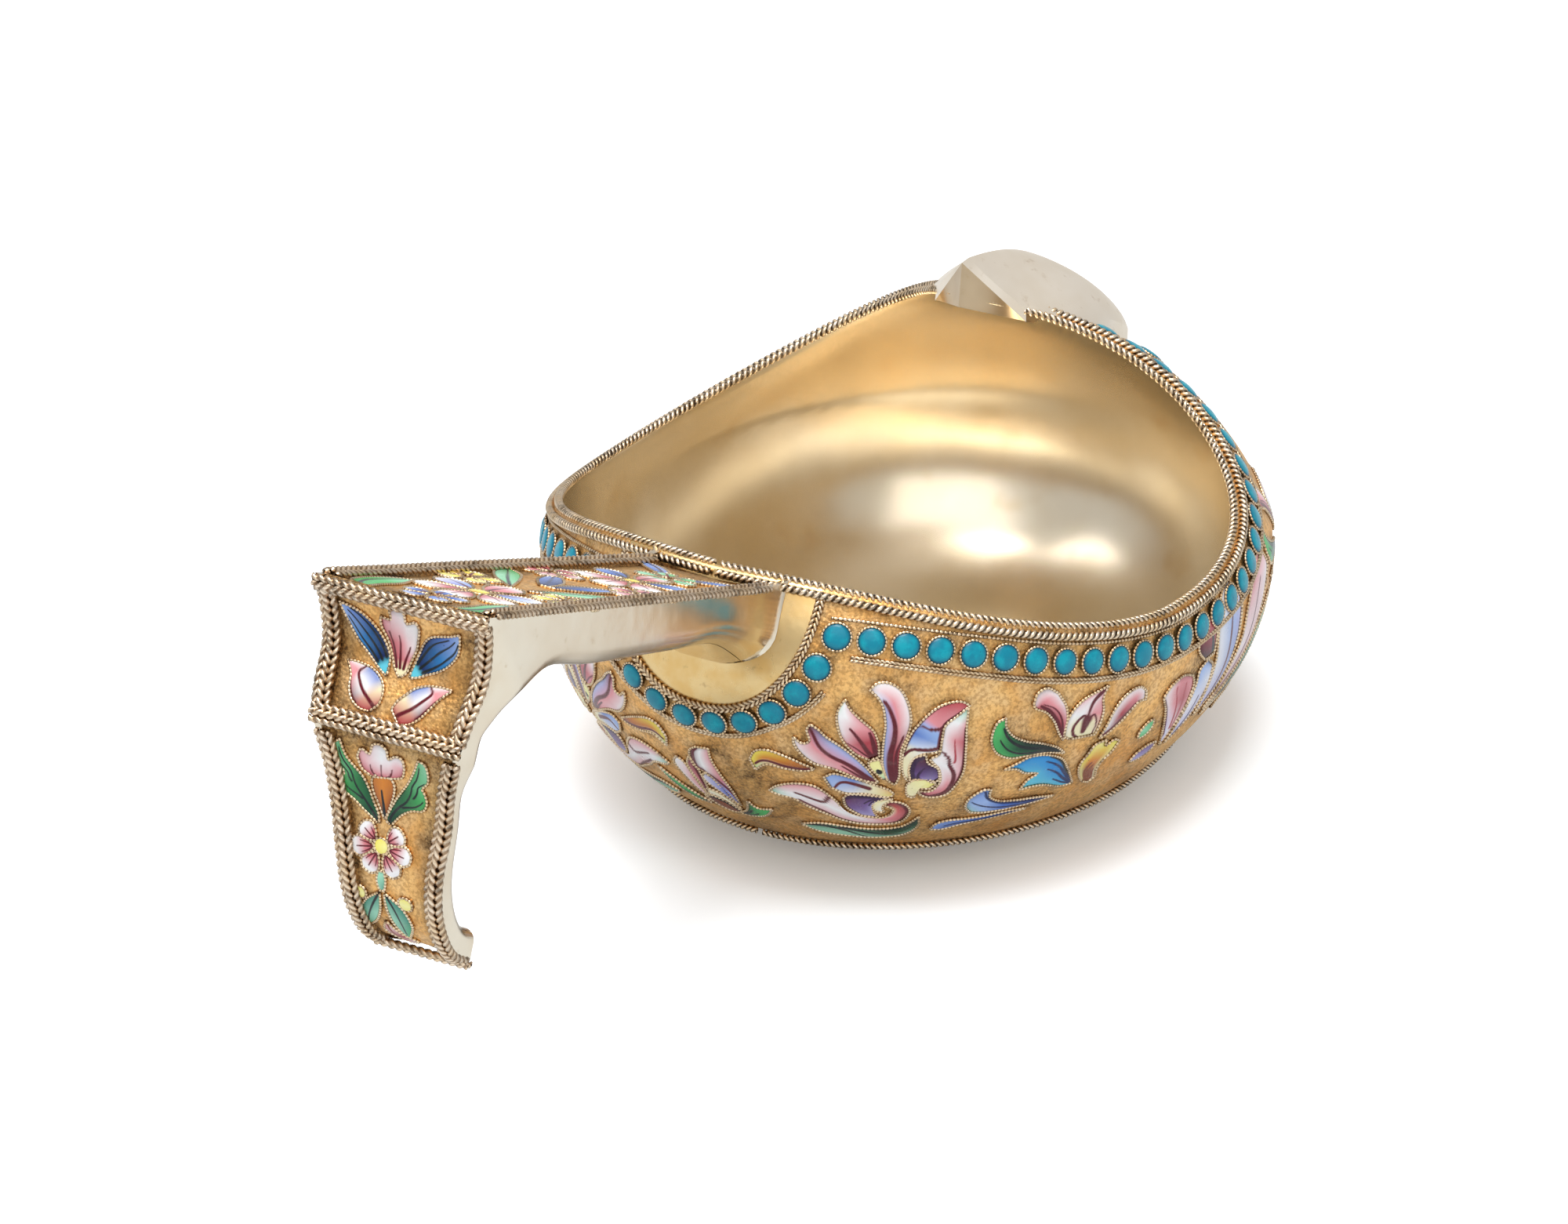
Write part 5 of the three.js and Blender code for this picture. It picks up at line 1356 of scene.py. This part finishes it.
PETAL_TONES = "0 rose rose|.4 rose pink rose|.75 white white white|1 white white white"
PETAL_VEINS = (("plum", 0.12, (0.5, 0), (0.5, 0.7)), ("plum", 0.09, (0.25, 0.05), (0.2, 0.55)),
               ("plum", 0.09, (0.75, 0.05), (0.8, 0.55)))
HOOK_SPRAY = [
    ([(9, 1.5), (8.5, 2.2), (8, 3), (7.4, 3.8), (7, 4.5), (6.5, 5.1), (5.6, 5.2), (5, 4.75), (4.5, 4.95),
      (3.9, 5.4), (3, 5.6), (2.2, 5.55)], [(1.6, 5)],
     [(9, 1.3), (8.1, 1.4), (6.95, 1.9), (5.85, 2.3), (4.8, 2.85), (4.1, 3.6), (3.2, 4.45), (2.35, 4.8)],
     "0 ink pine|.2 pine pine|.5 green pine|1 mint green", ("ink", 0.14, (0.6, 0.05), (0.6, 0.9)),
     ("ink", 0.12, (0.5, 0.3), (0.15, 0.5)), ("ink", 0.12, (0.5, 0.5), (0.15, 0.72))),
    ([(4.6, 1.9), (4, 2.9)],
     [(2.9, 3.3), (2, 2.8), (2.35, 2), (1.3, 1.6), (1.1, 0.8), (1.55, 0.2), (2.4, 0.1), (1.9, -0.7),
      (2.1, -1.35), (3, -1.5)],
     [(4.2, -0.3), (3.9, -1.2)],
     "0 rose rose|.4 rose pink rose|.8 pink white pink|1 pink white white",
     ("plum", 0.14, (0.3, 0), (0.25, 0.7)), ("plum", 0.14, (0.5, 0), (0.5, 0.7)),
     ("plum", 0.14, (0.7, 0), (0.75, 0.7))),
    ([(8.5, 0.8), (7.2, 1.35), (5.8, 1.9), (4.8, 1.9)], [(4, 1.2), (3.9, 0.4)],
     [(8.5, 0.75), (7, 0.15), (5.6, -0.3), (4.7, -0.3)],
     "0 ink brown|.4 brown orange brown|1 orange orange", ("ink", 0.2, (0.5, 0), (0.45, 0.6))),
    ([(8.85, 0.2), (8.5, 0.6), (7.3, 0.15), (5.85, -0.7), (4.35, -1.75), (2.7, -2.6)], [(1.75, -2.95)],
     [(8.85, 0.1), (7.65, -0.95), (6.95, -2.05), (6.7, -3.15), (5.85, -3.6), (5, -3.45), (4.5, -3.2),
      (3.8, -3.8), (2.8, -3.9), (1.95, -3.6)],
     "0 pine ink|.2 pine pine|.5 pine green|1 green mint", ("ink", 0.14, (0.35, 0.05), (0.35, 0.9)),
     ("ink", 0.12, (0.5, 0.3), (0.85, 0.5)), ("ink", 0.12, (0.5, 0.5), (0.85, 0.72))),
    *[ray((11, 1.0), angle, reach, 0.95, 0.75, PETAL_TONES, *PETAL_VEINS)
      for angle, reach in ((128, 2.7), (78, 3.2), (30, 3.1), (-30, 3.1), (-78, 3.1), (-128, 2.7))],
    dot((11, 1.0), 0.75, "0 yellow yellow|.5 yellow lemon|1 yellow yellow"),
    dot((16.2, 3.5), 0.72, "0 yellow yellow|.5 lemon lemon|1 yellow yellow"),
    dot((16.3, -1.2), 0.72, "0 yellow yellow|.5 lemon lemon|1 yellow yellow"),
    ([(13.4, 1.3), (14.3, 1.5)], [(15.4, 1.3), (15.4, 0.8)], [(13.4, 0.7), (14.3, 0.6)],
     "0 mint mint|1 mint teal"),
    ([(15.7, 1.5), (17, 3), (18.8, 3.9)], [(20.6, 3.6)], [(15.7, 1.3), (17.6, 1.6), (19.4, 2.4)],
     "0 teal teal|.5 teal mint|1 green teal", ("ink", 0.14, (0.5, 0), (0.5, 0.85))),
    ([(15.7, 0.9), (17.6, 0.9), (19.6, 0.6)], [(21.4, -0.3)], [(15.7, 0.7), (17, -0.8), (19, -1.3)],
     "0 teal teal|.5 mint teal|1 teal green", ("ink", 0.14, (0.5, 0), (0.5, 0.85))),
    ([(19.4, 1.6), (20.6, 2), (21.6, 1.4)], [(22.4, 0)], [(19.4, 1.4), (20.8, 0.4), (21.8, -1)],
     "0 pink white|.5 brown rose|1 pink white", ("brown", 0.14, (0.5, 0), (0.5, 0.85)))]
TOP_SPRAY = [
    *both_sides([(53.4, 4.4), (52, 6.4), (48, 6.9), (45, 6)], [(43.6, 5)],
                [(53.4, 4.2), (50, 4.4), (47, 4.2)],
                "0 pine green|.5 green green|1 mint mint", ("ink", 0.24, (0.4, 0), (0.5, 0.9))),
    *[ray((41, 0.0), angle, reach, 1.7, 1.2, tones, ("plum", 0.24, (0.5, 0), (0.5, 0.7)))
      for angle, reach, tones in ((0, 6, PETAL_TONES), (55, 5.8, PETAL_TONES), (-55, 5.8, PETAL_TONES),
                                  (115, 5.8, "0 blue blue|.5 sky lavender|1 white white"),
                                  (-115, 5.8, "0 blue blue|.5 sky lavender|1 white white"),
                                  (180, 6.5, "0 rose rose|.5 pink pink|1 white white"))],
    dot((41, 0.0), 1.1, "0 orange orange|.5 yellow yellow|1 lemon orange"),
    *both_sides([(34, 1), (31, 4.2), (27, 6.6)], [(24.5, 6.9)], [(34, 0.8), (29.5, 2.6), (26, 4.6)],
                "0 green mint|.5 mint green|1 pine green", ("ink", 0.2, (0.5, 0), (0.5, 0.9))),
    ([(29, 0.9), (26, 2.8)], [(23, 3.6), (22, 2.6)], [(29, -0.2), (25.5, 0.4)],
     "0 navy navy|.5 blue navy|1 sky blue", ("navy", 0.2, (0.5, 0), (0.5, 0.9))),
    ([(29, -0.9), (26, -2.8)], [(23, -3.6), (22, -2.6)], [(29, -0.1), (25.5, -0.4)],
     "0 navy navy|.5 blue navy|1 sky blue", ("navy", 0.2, (0.5, 0), (0.5, 0.9))),
    *[ray((14, 0.0), angle, reach, 1.6, 1.0, PETAL_TONES, ("plum", 0.24, (0.5, 0), (0.5, 0.7)))
      for angle, reach in ((0, 6), (50, 5.6), (-50, 5.6), (180, 6))],
    *[ray((14, 0.0), angle, 5.4, 1.5, 1.0, "0 navy navy|.5 blue blue|1 sky sky",
          ("ink", 0.2, (0.5, 0), (0.5, 0.7)))
      for angle in (120, -120)],
    dot((14, 0.0), 0.9, "0 orange orange|.5 yellow yellow|1 lemon orange"),
    *[ray(middle, angle + turn, 3.1, 1.1, 0.6, tones, ("plum", 0.2, (0.5, 0), (0.5, 0.7)))
      for middle, turn, tones in (((34.5, 5.0), 20, "0 orange orange|.5 yellow yellow|1 lemon cream"),
                                  ((34.5, -5.0), -20, "0 orange orange|.5 yellow yellow|1 lemon cream"),
                                  ((20.5, 4.6), 50, "0 plum plum|.5 rose pink|1 white white"),
                                  ((20.5, -4.6), -50, "0 plum plum|.5 rose pink|1 white white"),
                                  ((48.6, 0.0), 30, "0 navy navy|.5 blue blue|1 sky white"),
                                  ((7.2, 0.0), 0, "0 pine green|.5 green mint|1 mint mint"))
      for angle in (0, 72, 144, 216, 288)],
    *both_sides([(7, 1), (5, 3), (3, 5.2)], [(1, 6.2)], [(7, 0.6), (4.2, 1.6), (2, 3.6)],
                "0 navy blue|.5 blue sky|1 sky sky", ("navy", 0.24, (0.5, 0), (0.5, 0.9)))]
spray("enamel_block", "enamel_handle_block", on_plate(BLOCK), (1, 1), BLOCK_SPRAY)
spray("enamel_hook", "enamel_handle_hook", on_plate(HOOK), (1, 1), HOOK_SPRAY)
spray("enamel_top", "enamel_handle_top", on_plate(ARM), (1, 1), TOP_SPRAY, (18, 28))


# ---------------------------------------------------------------- camera, floor and light
# The dipper stands on white paper, seen from the handle's end and a little above the lip, in the
# soft even light of a white studio with dark gaps between its screens.
azimuth, elevation, distance = 0.531, 0.456, 830.7 * MM
PICTURE_WIDTH, FOCAL_LENGTH = 2000, 11171
back = Vector((-math.cos(azimuth) * math.cos(elevation), -math.sin(azimuth) * math.cos(elevation),
               math.sin(elevation)))
right = Vector((math.sin(azimuth), -math.cos(azimuth), 0))
up = back.cross(right)
lens = bpy.data.cameras.new("view")
lens.sensor_width = 36
lens.lens = FOCAL_LENGTH / PICTURE_WIDTH * lens.sensor_width
lens.sensor_fit = "HORIZONTAL"
lens.clip_start, lens.clip_end = 0.01, 20
camera = bpy.data.objects.new("view", lens)
bpy.context.collection.objects.link(camera)
eye = back * distance - right * 8.759 * MM + up * 15.482 * MM
turned = Matrix((right, up, back)).transposed().to_4x4()
camera.matrix_world = Matrix.Translation(eye) @ turned
bpy.context.scene.camera = camera

bpy.ops.object.select_all(action="DESELECT")
bpy.ops.mesh.primitive_plane_add(size=6, location=(0, 0, -0.0002))
floor = bpy.context.object
floor.name = "paper"
paper = Finish("white paper")
lit = paper.node("ShaderNodeBsdfDiffuse", None, {"Color": (0.95, 0.975, 1.0, 1)})
glow = paper.node("ShaderNodeEmission", None, {"Color": (1, 1, 1, 1), "Strength": 0.16})
seen = paper.node("ShaderNodeAddShader", None, {0: lit, 1: glow})
mirrored_paper = paper.node("ShaderNodeBsdfDiffuse", None, {"Color": (0.58, 0.61, 0.64, 1)})
direct = paper.node("ShaderNodeLightPath")
whole = paper.node("ShaderNodeMixShader", None, {0: direct, 1: mirrored_paper, 2: seen})
paper.node("ShaderNodeOutputMaterial", None, {"Surface": whole})
floor.data.materials.append(paper.material)

world = bpy.data.worlds.new("studio")
bpy.context.scene.world = world
world.use_nodes = True
world.node_tree.nodes["Background"].inputs["Color"].default_value = (1, 1, 1, 1)
world.node_tree.nodes["Background"].inputs["Strength"].default_value = 0.61


def softbox(name, spot, aim, size, power):
    light = bpy.data.lights.new(name, "AREA")
    light.shape = "RECTANGLE"
    light.size, light.size_y = size
    light.energy = power
    holder = bpy.data.objects.new(name, light)
    bpy.context.collection.objects.link(holder)
    holder.location = spot
    holder.rotation_euler = (Vector(aim) - Vector(spot)).to_track_quat("-Z", "Y").to_euler()


softbox("top screen", (-0.17, -0.05, 0.9), (0, 0, 0), (0.5, 0.5), 7.4)
softbox("front screen", (-0.75, -0.45, 0.78), (0, 0, 0.02), (0.95, 0.95), 3.2)
softbox("left screen", (-0.3, 0.48, 0.8), (0, 0, 0.02), (0.4, 0.4), 1.5)

bpy.context.scene.view_settings.view_transform = "Standard"
